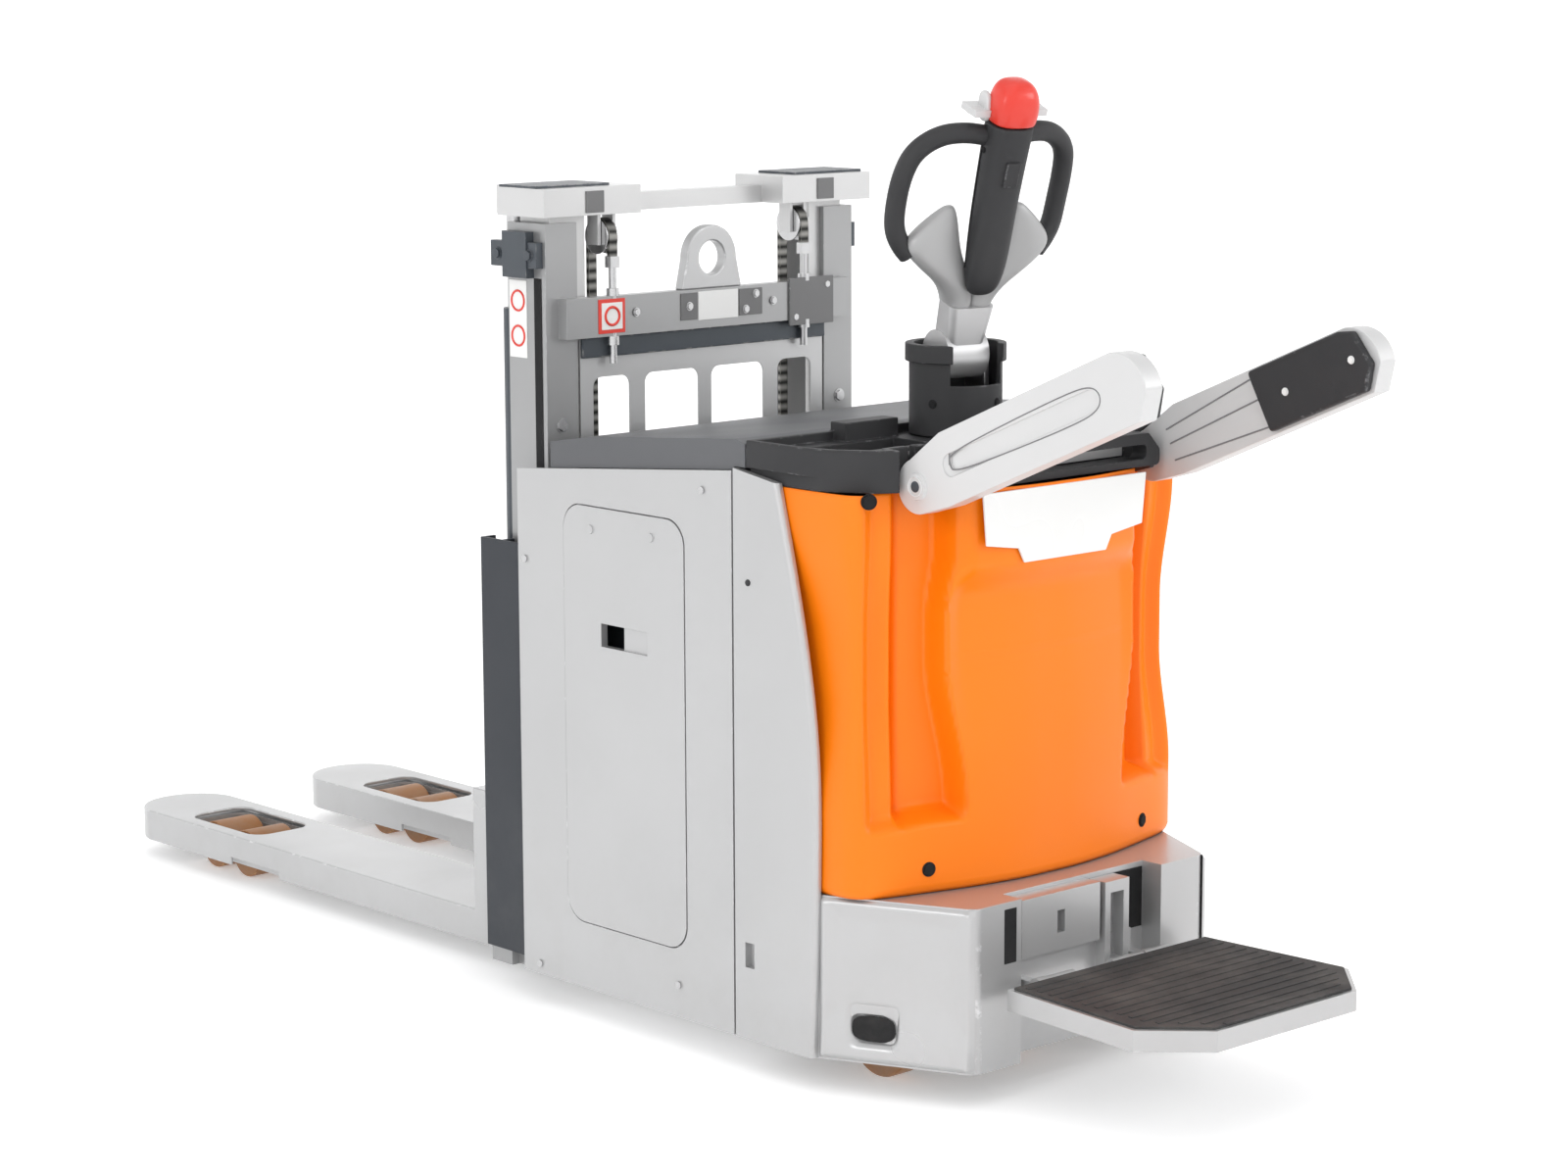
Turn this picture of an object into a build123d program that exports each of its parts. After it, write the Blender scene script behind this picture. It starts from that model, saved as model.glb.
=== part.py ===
from build123d import *
import os
from math import asin, cos, degrees, radians, sin

os.makedirs("parts", exist_ok=True)

# Rider pallet stacker with initial lift.  +Z up, forks towards +Y, operator at -Y.
# Every shape is drawn with y = 0 on the seam between the drive section and the
# lifting section; save() then moves it so that the origin is at the middle of the
# whole machine's base.  Lengths are in millimetres, angles in degrees.

# ---- overall ---------------------------------------------------------------
body_w = 720                # over the side panels
fork_reach = 1806           # seam to fork tips
platform_reach = 766        # seam to the outer edge of the platform
seam_y = (platform_reach - fork_reach) / 2
half_w = body_w / 2
initial_lift = 125
mast_stroke = 780

# ---- named clearances --------------------------------------------------------
pin_fit = 0.05              # radial, pins and shafts
slide_fit = 0.3             # between faces that slide
panel_gap = 2               # between covers
seam_gap = 4                # between the two halves of the machine

# ---- drive section -------------------------------------------------------------
skin = 12                   # side fender thickness
chassis_wall = 8
chassis_low = 50
deck_z = 296
chassis_x = half_w - skin
chamfer_y = 172             # where the skirt's corner face starts
nose_x = 245
nose_y = 390
recess_x = 150
recess_y = 352
fender_top = 906
bulkhead_top = 870

drive_y = -150              # steering axis of the drive wheel
drive_r = 115
drive_w = 90
drive_yaw = -12             # the tiller and the wheel stand turned at rest
motor_r = 75
motor_h = 172
neck_r = 70
gear_flange_r = 95
gear_flange_t = 12

castor_x = 215
castor_y = -210
castor_r = 62.5
castor_w = 40
castor_trail = 30
castor_stem_r = 12
castor_head_z = 141
bearing_z0 = 700            # tiller column bearing
bearing_z1 = 740

cover_wall = 4
cover_x = chassis_x - panel_gap
cover_top = 886
band_top = 405
flute_in = 203
flute_out = 268
flute_y = 236
cover_front = 312
badge_y = 326

tray_low = cover_top + 0.5
tray_lip = 907.5
tray_top = 934
tray_rim = 948
tray_back = 24
tray_front = 286
handle_half = 217

# ---- platform --------------------------------------------------------------------
step_hinge_y = -409
step_hinge_z = 166
step_pin_r = 7
step_top = 184
step_mat = 5
step_half_in = 212
step_half_out = 232
step_chamfer = 82
step_height = 36

# ---- guard arms ----------------------------------------------------------------------
arm_x = 246
arm_t = 34
arm_y = -287
arm_z = 898
arm_rise = 23
arm_len = 466
arm_h = 104
arm_root_r = 40
arm_pin_r = 12
pad_len = 220
pad_t = 14

# ---- tiller ----------------------------------------------------------------------------
tiller_y = -100             # the tiller stands behind the drive wheel's axis
hood_r = 70
hood_wall = 7
hood_low = tray_top + 2
hood_top = 1072
tiller_z = 1055
tiller_lean = 20
barrel_r = 37
barrel_half = 36
tiller_pin_r = 10
column_r = 20
grip_r = 15
head_top = 376
wing_top = 240
grip_half = 140
grip_low = 198
grip_high = 312
grip_join = 352

# ---- load section --------------------------------------------------------------------------
box_len = 507
box_wall = 6
box_low = 50
box_front_z = 902
box_back_z = 856
box_rear_wall_y = 440
door_y0 = 109
door_y1 = 392
door_z0 = 157
door_z1 = 814
door_r = 40
slot_y0 = 254
slot_y1 = 303
slot_z0 = 600
slot_z1 = 636
lid_front = -22
lid_back = 430
lid_lug_out = 180

# ---- mast ----------------------------------------------------------------------------------
mast_out_x = 325
mast_y0 = 472
mast_y1 = 565
mast_flange = 63
mast_web = 8
mast_lip = 10
mast_low = 60
mast_top = 1235
inner_gap = 9
inner_lip = 9
inner_flange = 70
crossbar_z0 = 1055
crossbar_z1 = 1118
crosshead_z0 = 1246
crosshead_z1 = 1290
eye_r = 27
eye_outer_r = 52
eye_z = 1167
eye_t = 20
cyl_x = 290
cyl_r = 22
cyl_rod_r = 15
cyl_y = mast_y1 + 1 + cyl_r
cyl_top = 1097
sheave_x = 203
sheave_y = 483
sheave_z = 1210
sheave_r = 22
sheave_w = 22
sheave_pin_r = 8
chain_t = 7
chain_w = 16
anchor_top = 1180
chain_low = sheave_z - sheave_r - mast_stroke - 12

# ---- carriage and forks ------------------------------------------------------------------------
plate_x = 218
plate_t = 14
plate_top = crosshead_z0 - mast_stroke - 11
carriage_y0 = 640
carriage_y1 = 696
heel_y = 741
heel_top = 295
fork_in = 100
fork_out = 280
fork_top = 89
fork_t = 6
fork_low = 33
window_y1 = fork_reach - 166
window_y0 = window_y1 - 220
window_in = 130
window_out = 250
nose_r = 78

# ---- support arms and load wheels -----------------------------------------------------------
leg_in = 125
leg_out = 255
leg_top = 78
leg_low = 30
leg_wall = 6
leg_end = window_y1 + 10
roller_r = 42.5
roller_x = 190
roller_w = 84
roller_pitch = 100
bogie_y = window_y1 - 108      # the load wheels stand just ahead of the window's middle
lever_len = 200
lever_z = 58
lever_r = 12
lever_pin_r = 9
axle_r = 10

lever_rest = degrees(asin((lever_z - roller_r) / lever_len))
lever_down = degrees(asin((lever_z - roller_r + initial_lift) / lever_len))
lever_y = bogie_y - lever_len * cos(radians(lever_rest))


# ---- helpers ---------------------------------------------------------------------------------
def save(shape, node):
    """Write one node, moved from the seam frame into the machine's frame."""
    export_step(Pos(0, seam_y, 0) * shape, f"parts/{node}.step")


def block(x0, x1, y0, y1, z0, z1):
    """A box between two corners."""
    return Pos((x0 + x1) / 2, (y0 + y1) / 2, (z0 + z1) / 2) * Box(x1 - x0, y1 - y0, z1 - z0)


def rod_x(x0, x1, y, z, r):
    """A cylinder along X."""
    return Pos((x0 + x1) / 2, y, z) * Rot(0, 90, 0) * Cylinder(r, x1 - x0)


def rod_y(y0, y1, x, z, r):
    """A cylinder along Y."""
    return Pos(x, (y0 + y1) / 2, z) * Rot(90, 0, 0) * Cylinder(r, y1 - y0)


def rod_z(z0, z1, x, y, r):
    """A cylinder along Z."""
    return Pos(x, y, (z0 + z1) / 2) * Cylinder(r, z1 - z0)


def outline(points, radius=0):
    """A closed face from corner points, with every corner rounded when radius is set."""
    face = make_face(Polyline(*points, close=True))
    return fillet(face.vertices(), radius) if radius else face


def plan(face, z0, z1):
    """Extrude a face drawn in (x, y) from z0 up to z1."""
    return extrude(Pos(0, 0, z0) * face, z1 - z0, dir=(0, 0, 1))


def profile(face, x0, x1):
    """Extrude a face drawn in (y, z) from x0 to x1."""
    return extrude(Plane.YZ.offset(x0) * face, x1 - x0, dir=(1, 0, 0))


def elevation(face, y0, y1):
    """Extrude a face drawn in (x, z) from y0 to y1."""
    return extrude(Plane.XZ.offset(-y0) * face, y1 - y0, dir=(0, 1, 0))


def mirrored(shape):
    """The same shape on the other side of the machine."""
    return mirror(shape, Plane.YZ)


def both(shape):
    """A shape and its mirror image."""
    return shape + mirrored(shape)


def half_outline(points):
    """A closed face from the right-hand half of a symmetric outline."""
    left = [(-x, y) for x, y in reversed(points) if x > 0]
    return make_face(Polyline(*points, *left, close=True))


def turned(shape, angle, y, z):
    """Turn a shape about a line along X."""
    return Pos(0, y, z) * Rot(angle, 0, 0) * Pos(0, -y, -z) * shape


def steered(shape, y):
    """Turn a shape about the upright axis at y to the rest yaw."""
    return Pos(0, y, 0) * Rot(0, 0, drive_yaw) * Pos(0, -y, 0) * shape


# ---- drive section: chassis and covers -----------------------------------------------------------
skirt_points = [
    (chassis_x, -12),
    (chassis_x, -chamfer_y),
    (nose_x, -nose_y),
    (recess_x, -nose_y),
    (recess_x, -recess_y),
    (-recess_x, -recess_y),
    (-recess_x, -nose_y),
    (-nose_x, -nose_y),
    (-chassis_x, -chamfer_y),
    (-chassis_x, -12),
]
skirt_face = make_face(Polyline(*skirt_points, close=True))
skirt = plan(skirt_face, chassis_low, deck_z)
skirt -= plan(offset(skirt_face, -chassis_wall), chassis_low - 1, deck_z - chassis_wall)
skirt -= rod_z(deck_z - 20, deck_z + 20, 0, drive_y, neck_r + slide_fit)

bulkhead = block(-chassis_x, chassis_x, -12, -seam_gap / 2, chassis_low, bulkhead_top)
guide = block(150, 190, -seam_gap / 2, box_wall / 2 - 1 - slide_fit, 120, 800)
castor_post = rod_z(castor_head_z, deck_z - chassis_wall, castor_x, castor_y, 45)
castor_post -= rod_z(castor_head_z - 1, deck_z - 20, castor_x, castor_y, castor_stem_r + pin_fit)

# Oblong access slot low in each corner face.
face_len = ((chassis_x - nose_x) ** 2 + (nose_y - chamfer_y) ** 2) ** 0.5
face_dir = ((chassis_x - nose_x) / face_len, (nose_y - chamfer_y) / face_len)
slot_mid_x = chassis_x - face_dir[0] * face_len * 0.34
slot_mid_y = -chamfer_y - face_dir[1] * face_len * 0.34
face_plane = Plane(
    origin=(slot_mid_x, slot_mid_y, 104),
    x_dir=(-face_dir[0], -face_dir[1], 0),
    z_dir=(face_dir[1], -face_dir[0], 0),
)
access_slot = extrude(face_plane * SlotOverall(72, 42), chassis_wall + 4, both=True)

column_bearing = block(-46, 46, tiller_y - 40, -seam_gap, bearing_z0, bearing_z1)
column_bearing -= rod_z(bearing_z0 - 1, bearing_z1 + 1, 0, tiller_y, column_r + pin_fit)

drive_chassis = skirt + bulkhead + both(guide) + both(castor_post) + column_bearing - both(access_slot)
save(drive_chassis, "drive_chassis")

fender_edge = [
    (-88, fender_top - 13),
    (-127, 771),
    (-155, 632),
    (-176, 491),
    (-184, 360),
    (-chamfer_y - 6, chassis_low + 10),
]
fender_face = make_face(
    Polyline((-96, fender_top - 14), (-seam_gap / 2, fender_top), (-seam_gap / 2, chassis_low),
             (-chamfer_y + 2, chassis_low))
    + Spline((-chamfer_y + 2, chassis_low), (-178, 332), (-176, 491), (-127, 771),
             (-96, fender_top - 14))
)
fender = profile(fender_face, chassis_x, half_w)
front_edges = fender.edges().filter_by(lambda e: e.center().Y < -60 and e.center().X > half_w - 1)
fender = fillet(front_edges.filter_by(lambda e: e.length > 300), skin - 3)
fender_hole = block(chassis_x - 1, half_w + 1, -44, -24, 160, 198)
fender_screw_hole = rod_x(chassis_x - 1, half_w + 1, -34, 740, 5)
fender_right = fender - fender_hole - fender_screw_hole
save(fender_right, "fender_right")
save(mirrored(fender_right), "fender_left")


def cover_outline(points, wall):
    """One level of the drive cover's plan, set in by wall."""
    face = half_outline(points)
    return offset(face, -wall) if wall else face


band_points = [
    (0, -40), (cover_x, -40), (cover_x, -196), (338, -232), (308, -256),
    (flute_out - 30, -274), (150, -298), (60, -cover_front), (0, -cover_front),
]
upper_points = [
    (0, -40), (cover_x, -40), (cover_x, -150), (334, -196), (306, -238), (flute_out + 4, -262),
    (flute_out, -flute_y), (flute_in, -flute_y), (flute_in - 4, -276), (120, -300),
    (0, -308),
]
badge_points = [(0, -230), (196, -230), (188, -badge_y + 4), (170, -badge_y), (0, -badge_y)]


def cover_solid(wall):
    """The drive cover's volume, or its inside when wall is set."""
    lower = plan(cover_outline(band_points, wall), deck_z - (1 if wall else 0), band_top - wall)
    upper = plan(cover_outline(upper_points, wall), deck_z + 20, cover_top + (1 if wall else 0))
    chin = plan(cover_outline(badge_points, wall), 766 + wall, cover_top + (1 if wall else 0))
    return lower + upper + chin


drive_cover = cover_solid(0) - cover_solid(cover_wall)
inside_x = cover_x - cover_wall
drive_cover -= block(-inside_x, inside_x, -60, -30, deck_z - 1, cover_top + 1)
cheek_slot = block(arm_x - arm_t / 2 - 11, arm_x - arm_t / 2 + 1, -flute_y - 4, -212, 850, tray_rim + 1)
drive_cover -= both(cheek_slot)
cover_screw_at = [(s * 228, -273) for s in (-1, 1)]
for x, y in cover_screw_at:
    drive_cover -= rod_y(y - 30, y + 30, x, 333, 6)
save(drive_cover, "drive_cover")

badge_face = outline([
    (-172, 882), (172, 882), (164, 806), (98, 796), (86, 774), (-86, 774), (-98, 796), (-164, 806),
])
badge_plate = elevation(badge_face, -badge_y - 4, -badge_y)
save(badge_plate, "badge_plate")

cover_screws = None
for x, y in cover_screw_at:
    head = rod_y(y - 6, y + 14, x, 333, 5.8)
    cover_screws = head if cover_screws is None else cover_screws + head
for s in (-1, 1):
    x_in, x_out = sorted((s * (half_w - 6), s * (half_w + 1.5)))
    cover_screws += rod_x(x_in, x_out, -34, 740, 4.9)
save(cover_screws, "cover_screws")

tray_points = [
    (0, -tray_back), (chassis_x + 6, -tray_back), (chassis_x + 6, -140), (338, -196),
    (300, -246), (flute_out + 4, -262), (flute_out, -flute_y), (flute_in, -flute_y),
    (flute_in - 2, -tray_front), (0, -tray_front),
]
tray_face = half_outline(tray_points)
console_tray = plan(tray_face, tray_low, tray_rim) - plan(offset(tray_face, -12), tray_top, tray_rim + 1)
for s in (-1, 1):
    x0, x1 = sorted((s * cover_x, s * (chassis_x + 7)))
    console_tray -= block(x0, x1, -300, 0, tray_low - 1, tray_lip)
console_tray -= both(cheek_slot)
pockets = [(-318, -100, -150, -70), (100, 318, -150, -40), (-190, -92, -225, -165), (92, 190, -225, -165)]
for x0, x1, y0, y1 in pockets:
    console_tray -= block(x0, x1, y0, y1, tray_top - 30, tray_rim + 1)
console_tray -= rod_z(tray_low - 1, tray_rim + 1, 0, tiller_y, column_r + 2)
console_tray -= rod_z(tray_top, tray_rim + 1, 0, tiller_y, hood_r + 4)
console_tray -= block(-handle_half + 20, handle_half - 20, -tray_front - 1, -tray_front + 26, 896, tray_rim + 1)
console_tray += block(-190, -82, -62, -tray_back - 4, tray_low + 4, tray_rim + 14)
save(console_tray, "console_tray")

handle_face = outline([
    (-handle_half, 888), (-handle_half, 912), (25 - handle_half, 938), (handle_half - 25, 938),
    (handle_half, 912), (handle_half, 888),
], 8)
grab_handle = elevation(handle_face, -316, -tray_front)
grab_handle -= elevation(outline([(-188, 899), (-188, 921), (188, 921), (188, 899)], 9), -320, -280)
save(grab_handle, "grab_handle")

# ---- guard arm brackets and arms ---------------------------------------------------------------
arm_brackets = None
for s in (-1, 1):
    x0, x1 = sorted((s * (arm_x - arm_t / 2 - 1), s * (arm_x - arm_t / 2 - 9)))
    cheek = profile(outline([(-216, 858), (-216, 885), (arm_y - 6, 916), (arm_y - 18, 898),
                             (arm_y - 6, 880)]), x0, x1)
    p0, p1 = sorted((s * (arm_x - arm_t / 2 - 9), s * (arm_x + arm_t / 2 - 4)))
    pair = cheek + rod_x(p0, p1, arm_y, arm_z, arm_pin_r)
    arm_brackets = pair if arm_brackets is None else arm_brackets + pair
mount_bar = block(-(arm_x - arm_t / 2 - 1), arm_x - arm_t / 2 - 1, -228, -216, 846, cover_top - 2)
post = block(arm_x - arm_t / 2 - 13, arm_x - arm_t / 2 + 5, -228, -216, deck_z, 850)
arm_brackets += mount_bar + both(post)
save(arm_brackets, "arm_brackets")

arm_face = make_face(
    ThreePointArc((-arm_y, arm_z - arm_root_r), (-arm_y - arm_root_r, arm_z), (-arm_y, arm_z + arm_root_r))
    + Polyline((-arm_y, arm_z + arm_root_r), (-arm_y + 70, arm_z + 58), (-arm_y + arm_len - 46, arm_z + 58))
    + ThreePointArc((-arm_y + arm_len - 46, arm_z + 58), (-arm_y + arm_len - 10, arm_z + 36),
                    (-arm_y + arm_len, arm_z - 10))
    + Polyline((-arm_y + arm_len, arm_z - 10), (-arm_y + arm_len - 26, arm_z + 58 - arm_h),
               (-arm_y + 50, arm_z + 58 - arm_h), (-arm_y, arm_z - arm_root_r))
)
for s, side in ((1, "right"), (-1, "left")):
    a0, a1 = sorted((s * (arm_x - arm_t / 2), s * (arm_x + arm_t / 2)))
    paddle = mirror(profile(arm_face, a0, a1), Plane.XZ)
    b0, b1 = sorted((s * (arm_x - arm_t / 2 - 1), s * (arm_x + arm_t / 2 - 4)))
    paddle -= rod_x(b0, b1, arm_y, arm_z, arm_pin_r + pin_fit)
    groove = profile(outline([(arm_y - 60, arm_z - 8), (arm_y - 60, arm_z + 24),
                              (arm_y - arm_len + 90, arm_z + 24), (arm_y - arm_len + 90, arm_z - 8)], 15),
                     s * (arm_x + arm_t / 2) - 3, s * (arm_x + arm_t / 2) + 3)
    paddle -= groove
    save(turned(paddle, -arm_rise, arm_y, arm_z), f"guard_arm_{side}")
    q0, q1 = sorted((s * (arm_x - arm_t / 2), s * (arm_x - arm_t / 2 - pad_t)))
    pad = profile(outline([(arm_y - arm_len + pad_len + 10, arm_z + 54), (arm_y - arm_len + pad_len, arm_z - 42),
                           (arm_y - arm_len + 30, arm_z - 42), (arm_y - arm_len + 8, arm_z - 8),
                           (arm_y - arm_len + 24, arm_z + 46), (arm_y - arm_len + 50, arm_z + 54)], 6), q0, q1)
    save(turned(pad, -arm_rise, arm_y, arm_z), f"arm_pad_{side}")

# ---- platform ---------------------------------------------------------------------------------------
step_z0 = step_top - step_mat - step_height + 5
mount_plate = block(-141, 25, -recess_y - 30, -recess_y, 202, 290)
mount_plate -= block(-66, -50, -recess_y - 31, -recess_y - 10, 228, 262)
lugs = None
for x0, x1 in ((-140, -120), (90, 110)):
    lug = block(x0, x1, step_hinge_y, -recess_y, 128, step_hinge_z + 6)
    lug += rod_x(x0, x1, step_hinge_y, step_hinge_z, 13)
    lug -= rod_x(x0 - 1, x1 + 1, step_hinge_y, step_hinge_z, step_pin_r + pin_fit)
    lugs = lug if lugs is None else lugs + lug
damper = block(32, 84, -recess_y - 34, -recess_y, 150, 288) - block(44, 72, -recess_y - 35, -recess_y - 12, 168, 270)
platform_mount = mount_plate + lugs + block(-141, 110, -recess_y - 14, -recess_y, 128, 202) + damper
save(platform_mount, "platform_mount")

step_out = -platform_reach
step_face = half_outline([
    (0, step_hinge_y - 14), (step_half_in, step_hinge_y - 14), (step_half_out, step_out + step_chamfer),
    (step_half_out - step_chamfer, step_out), (0, step_out),
])
tread = plan(step_face, step_z0, step_top - step_mat)
tread -= plan(offset(step_face, -5), step_z0 - 1, step_top - step_mat - 5)
for x0, x1 in ((-119, -60), (20, 89), (111, 148)):
    ear = block(x0 + 0.5, x1 - 0.5, step_hinge_y - 22, step_hinge_y - 6, step_hinge_z - 9, step_hinge_z + 9)
    ear += rod_x(x0 + 0.5, x1 - 0.5, step_hinge_y, step_hinge_z, 12)
    tread += ear
tread += rod_x(-140, 148, step_hinge_y, step_hinge_z, step_pin_r)
save(tread, "platform_tread")

mat_face = offset(step_face, -7)
platform_mat = plan(mat_face, step_top - step_mat, step_top - 1.5)
for i in range(15):
    y = step_hinge_y - 40 - i * 22
    inset = max(0, (step_out + step_chamfer) - y)
    half = step_half_in - 14 - inset
    platform_mat += block(-half, half, y - 4, y + 4, step_top - 1.6, step_top)
save(platform_mat, "platform_mat")

# ---- hydraulics and electronics under the cover -----------------------------------------------------
pump = rod_y(-210, -150, 180, 380, 48) + block(132, 300, -150, -60, 304, 470) + block(150, 210, -200, -150, deck_z, 340)
pump += block(132, 300, -150, -60, deck_z, 306)
save(pump, "hydraulic_unit")
controller = block(-300, -130, -110, -40, deck_z, 520)
for i in range(7):
    controller += block(-290 + i * 24, -282 + i * 24, -126, -110, 320, 500)
save(controller, "motor_controller")

# ---- drive unit, drive wheel and castors --------------------------------------------------------------
gear_z = deck_z + slide_fit
drive_unit = rod_z(gear_z, gear_z + gear_flange_t, 0, drive_y, gear_flange_r)
drive_unit += rod_z(gear_z + gear_flange_t, gear_z + gear_flange_t + motor_h, 0, drive_y, motor_r)
drive_unit += rod_z(248, gear_z, 0, drive_y, neck_r)
drive_unit += block(-drive_w / 2 - 24, drive_w / 2 + 24, drive_y - 58, drive_y + 58, 236, 258)
side_leg = block(drive_w / 2 + 4, drive_w / 2 + 24, drive_y - 58, drive_y + 58, 160, 250)
side_leg += rod_x(drive_w / 2 + 4, drive_w / 2 + 24, drive_y, drive_r, 60)
drive_unit += side_leg + rod_x(-4, drive_w / 2 + 10, drive_y, drive_r, 22)
drive_unit += rod_x(-drive_w / 2 - 8, 0, drive_y, drive_r, 22)
save(steered(drive_unit, drive_y), "drive_unit")

drive_wheel = rod_x(-drive_w / 2, drive_w / 2, drive_y, drive_r, drive_r)
drive_wheel -= rod_x(-drive_w / 2 - 1, drive_w / 2 + 1, drive_y, drive_r, 22 + pin_fit)
save(steered(drive_wheel, drive_y), "drive_wheel")

castor_axle_y = castor_y + castor_trail
crown = rod_z(132, castor_head_z - slide_fit, castor_x, castor_y, 30)
crown += rod_z(castor_head_z - slide_fit, deck_z - 60, castor_x, castor_y, castor_stem_r)
for x0, x1 in ((castor_x - 30, castor_x - 24), (castor_x + 24, castor_x + 30)):
    crown += profile(outline([(castor_y - 22, 138), (castor_y + 26, 138), (castor_axle_y + 16, castor_r - 14),
                              (castor_axle_y - 14, castor_r - 14)]), x0, x1)
crown += rod_x(castor_x - 30, castor_x + 30, castor_axle_y, castor_r, 7)
crown += block(castor_x - 30, castor_x + 30, castor_y - 22, castor_y + 26, 132, 138)
castor_wheel = rod_x(castor_x - castor_w / 2, castor_x + castor_w / 2, castor_axle_y, castor_r, castor_r)
castor_wheel -= rod_x(castor_x - castor_w, castor_x + castor_w, castor_axle_y, castor_r, 7 + pin_fit)
save(crown, "castor_fork_right")
save(mirrored(crown), "castor_fork_left")
save(castor_wheel, "castor_wheel_right")
save(mirrored(castor_wheel), "castor_wheel_left")

# ---- tiller: hood and column turn with the drive unit ----------------------------------------------
hood = rod_z(hood_low, hood_top - 26, 0, tiller_y, hood_r) + rod_z(hood_top - 27, hood_top, 0, tiller_y, hood_r + 6)
hood -= rod_z(hood_low + hood_wall, hood_top + 1, 0, tiller_y, hood_r - hood_wall)
hood -= block(-barrel_half - 8, barrel_half + 8, tiller_y - 100, tiller_y, 1012, hood_top + 1)
hood -= rod_z(hood_low - 1, hood_low + 20, 0, tiller_y, column_r)
save(steered(hood, tiller_y), "steering_hood")

column = rod_z(bearing_z0 - 24, 1000, 0, tiller_y, column_r)
column += rod_z(bearing_z1 + slide_fit, bearing_z1 + 12, 0, tiller_y, 34)
column += rod_z(962, 980, 0, tiller_y, hood_r - hood_wall - 0.2)
for s in (-1, 1):
    x0, x1 = sorted((s * (barrel_half + 1), s * (barrel_half + 9)))
    column += block(x0, x1, tiller_y - 22, tiller_y + 30, 976, tiller_z + 12)
column += rod_x(-barrel_half - 9, barrel_half + 9, tiller_y, tiller_z, tiller_pin_r)
save(steered(column, tiller_y), "steering_column")


def tiller_place(shape):
    """Move a piece drawn on an upright tiller, with s = 0 at its hinge, to its rest place."""
    upright = Pos(0, tiller_y, tiller_z) * shape
    return steered(turned(upright, tiller_lean, tiller_y, tiller_z), tiller_y)


arm_barrel = rod_x(-barrel_half, barrel_half, 0, 0, barrel_r)
neck = loft([
    Pos(0, 0, 20) * RectangleRounded(62, 54, 12),
    Pos(0, 0, 84) * RectangleRounded(76, 48, 12),
])
tiller_arm = arm_barrel + neck - rod_x(-60, 60, 0, 0, tiller_pin_r + pin_fit)
save(tiller_place(tiller_arm), "tiller_arm")

wing_half = [
    (0, 84.5), (38, 84.5), (50, 112), (grip_half - 14, grip_low - 36), (grip_half - 12, grip_low - 14),
    (86, wing_top - 22), (56, wing_top), (38, 190), (26, 130), (0, 122),
]
wing_face = half_outline(wing_half)
tiller_wings = elevation(wing_face, -12, 26)
save(tiller_place(tiller_wings), "tiller_wings")

spine_low = loft([
    Pos(0, -26, 112) * RectangleRounded(40, 22, 9),
    Pos(0, -24, 165) * RectangleRounded(60, 22, 10),
])
spine_mid = loft([
    Pos(0, -20, 165) * RectangleRounded(60, 15, 6),
    Pos(0, -16, 225) * RectangleRounded(58, 46, 14),
])
spine_top = loft([
    Pos(0, -16, 213) * RectangleRounded(58, 46, 14),
    Pos(0, -14, head_top) * RectangleRounded(64, 56, 16),
])
spine_back = block(-24, 24, -1, 15, head_top - 1, head_top + 36)
spine_back -= rod_x(-25, 25, 6, head_top + 12, 6.3)
tiller_spine = spine_low + spine_mid + spine_top + spine_back - elevation(wing_face, -12, 26)
save(tiller_place(tiller_spine), "tiller_spine")


def grip_bar():
    """The right-hand grip loop as straight runs joined by tangent arcs."""
    points = [(26, -4, grip_join), (76, 8, grip_join - 2), (grip_half - 8, 22, grip_high),
              (grip_half, 26, (grip_high + grip_low) / 2), (grip_half - 3, 24, grip_low),
              (grip_half - 17, 18, grip_low - 36)]
    path = FilletPolyline(*points, radius=22)
    section = Plane(origin=path @ 0, z_dir=path % 0) * Circle(grip_r)
    return sweep(section, path)


grip = grip_bar()
tiller_grips = both(grip) - tiller_spine - elevation(wing_face, -12.2, 26.2)
save(tiller_place(tiller_grips), "tiller_grips")

button_y0 = -45
button_y1 = -7.5
button_face = make_face(
    Polyline((button_y0, head_top + 0.5), (button_y0, head_top + 24))
    + ThreePointArc((button_y0, head_top + 24), (-34, head_top + 46), (button_y1 - 6, head_top + 54))
    + Polyline((button_y1 - 6, head_top + 54), (button_y1, head_top + 46), (button_y1, head_top + 0.5),
               (button_y0, head_top + 0.5))
)
belly_button = profile(button_face, -34, 34)
belly_button &= plan(Pos(0, -20) * RectangleRounded(68, 58, 20), head_top, head_top + 60)
save(tiller_place(belly_button), "belly_button")

travel_switch = rod_x(-62, 62, 6, head_top + 12, 6)
for s in (-1, 1):
    x0, x1 = sorted((s * 36, s * 62))
    travel_switch += block(x0, x1, -14, 26, head_top + 7, head_top + 17)
save(tiller_place(travel_switch), "travel_switch")

lift_switch = block(-12, 12, -48, -41.5, 286, 324)
save(tiller_place(lift_switch), "lift_switch")

# ---- load section: battery box --------------------------------------------------------------------
slope = (box_front_z - box_back_z) / box_len


def box_top(y):
    """Height of the side panels' sloping top edge."""
    return box_front_z - slope * y


def door_face(grow, round_r):
    """The service door's outline, grown by a gap."""
    return outline([(door_y0 - grow, door_z0 - grow), (door_y0 - grow, door_z1 + grow),
                    (door_y1 + grow, door_z1 + grow), (door_y1 + grow, door_z0 - grow)], round_r)


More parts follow.
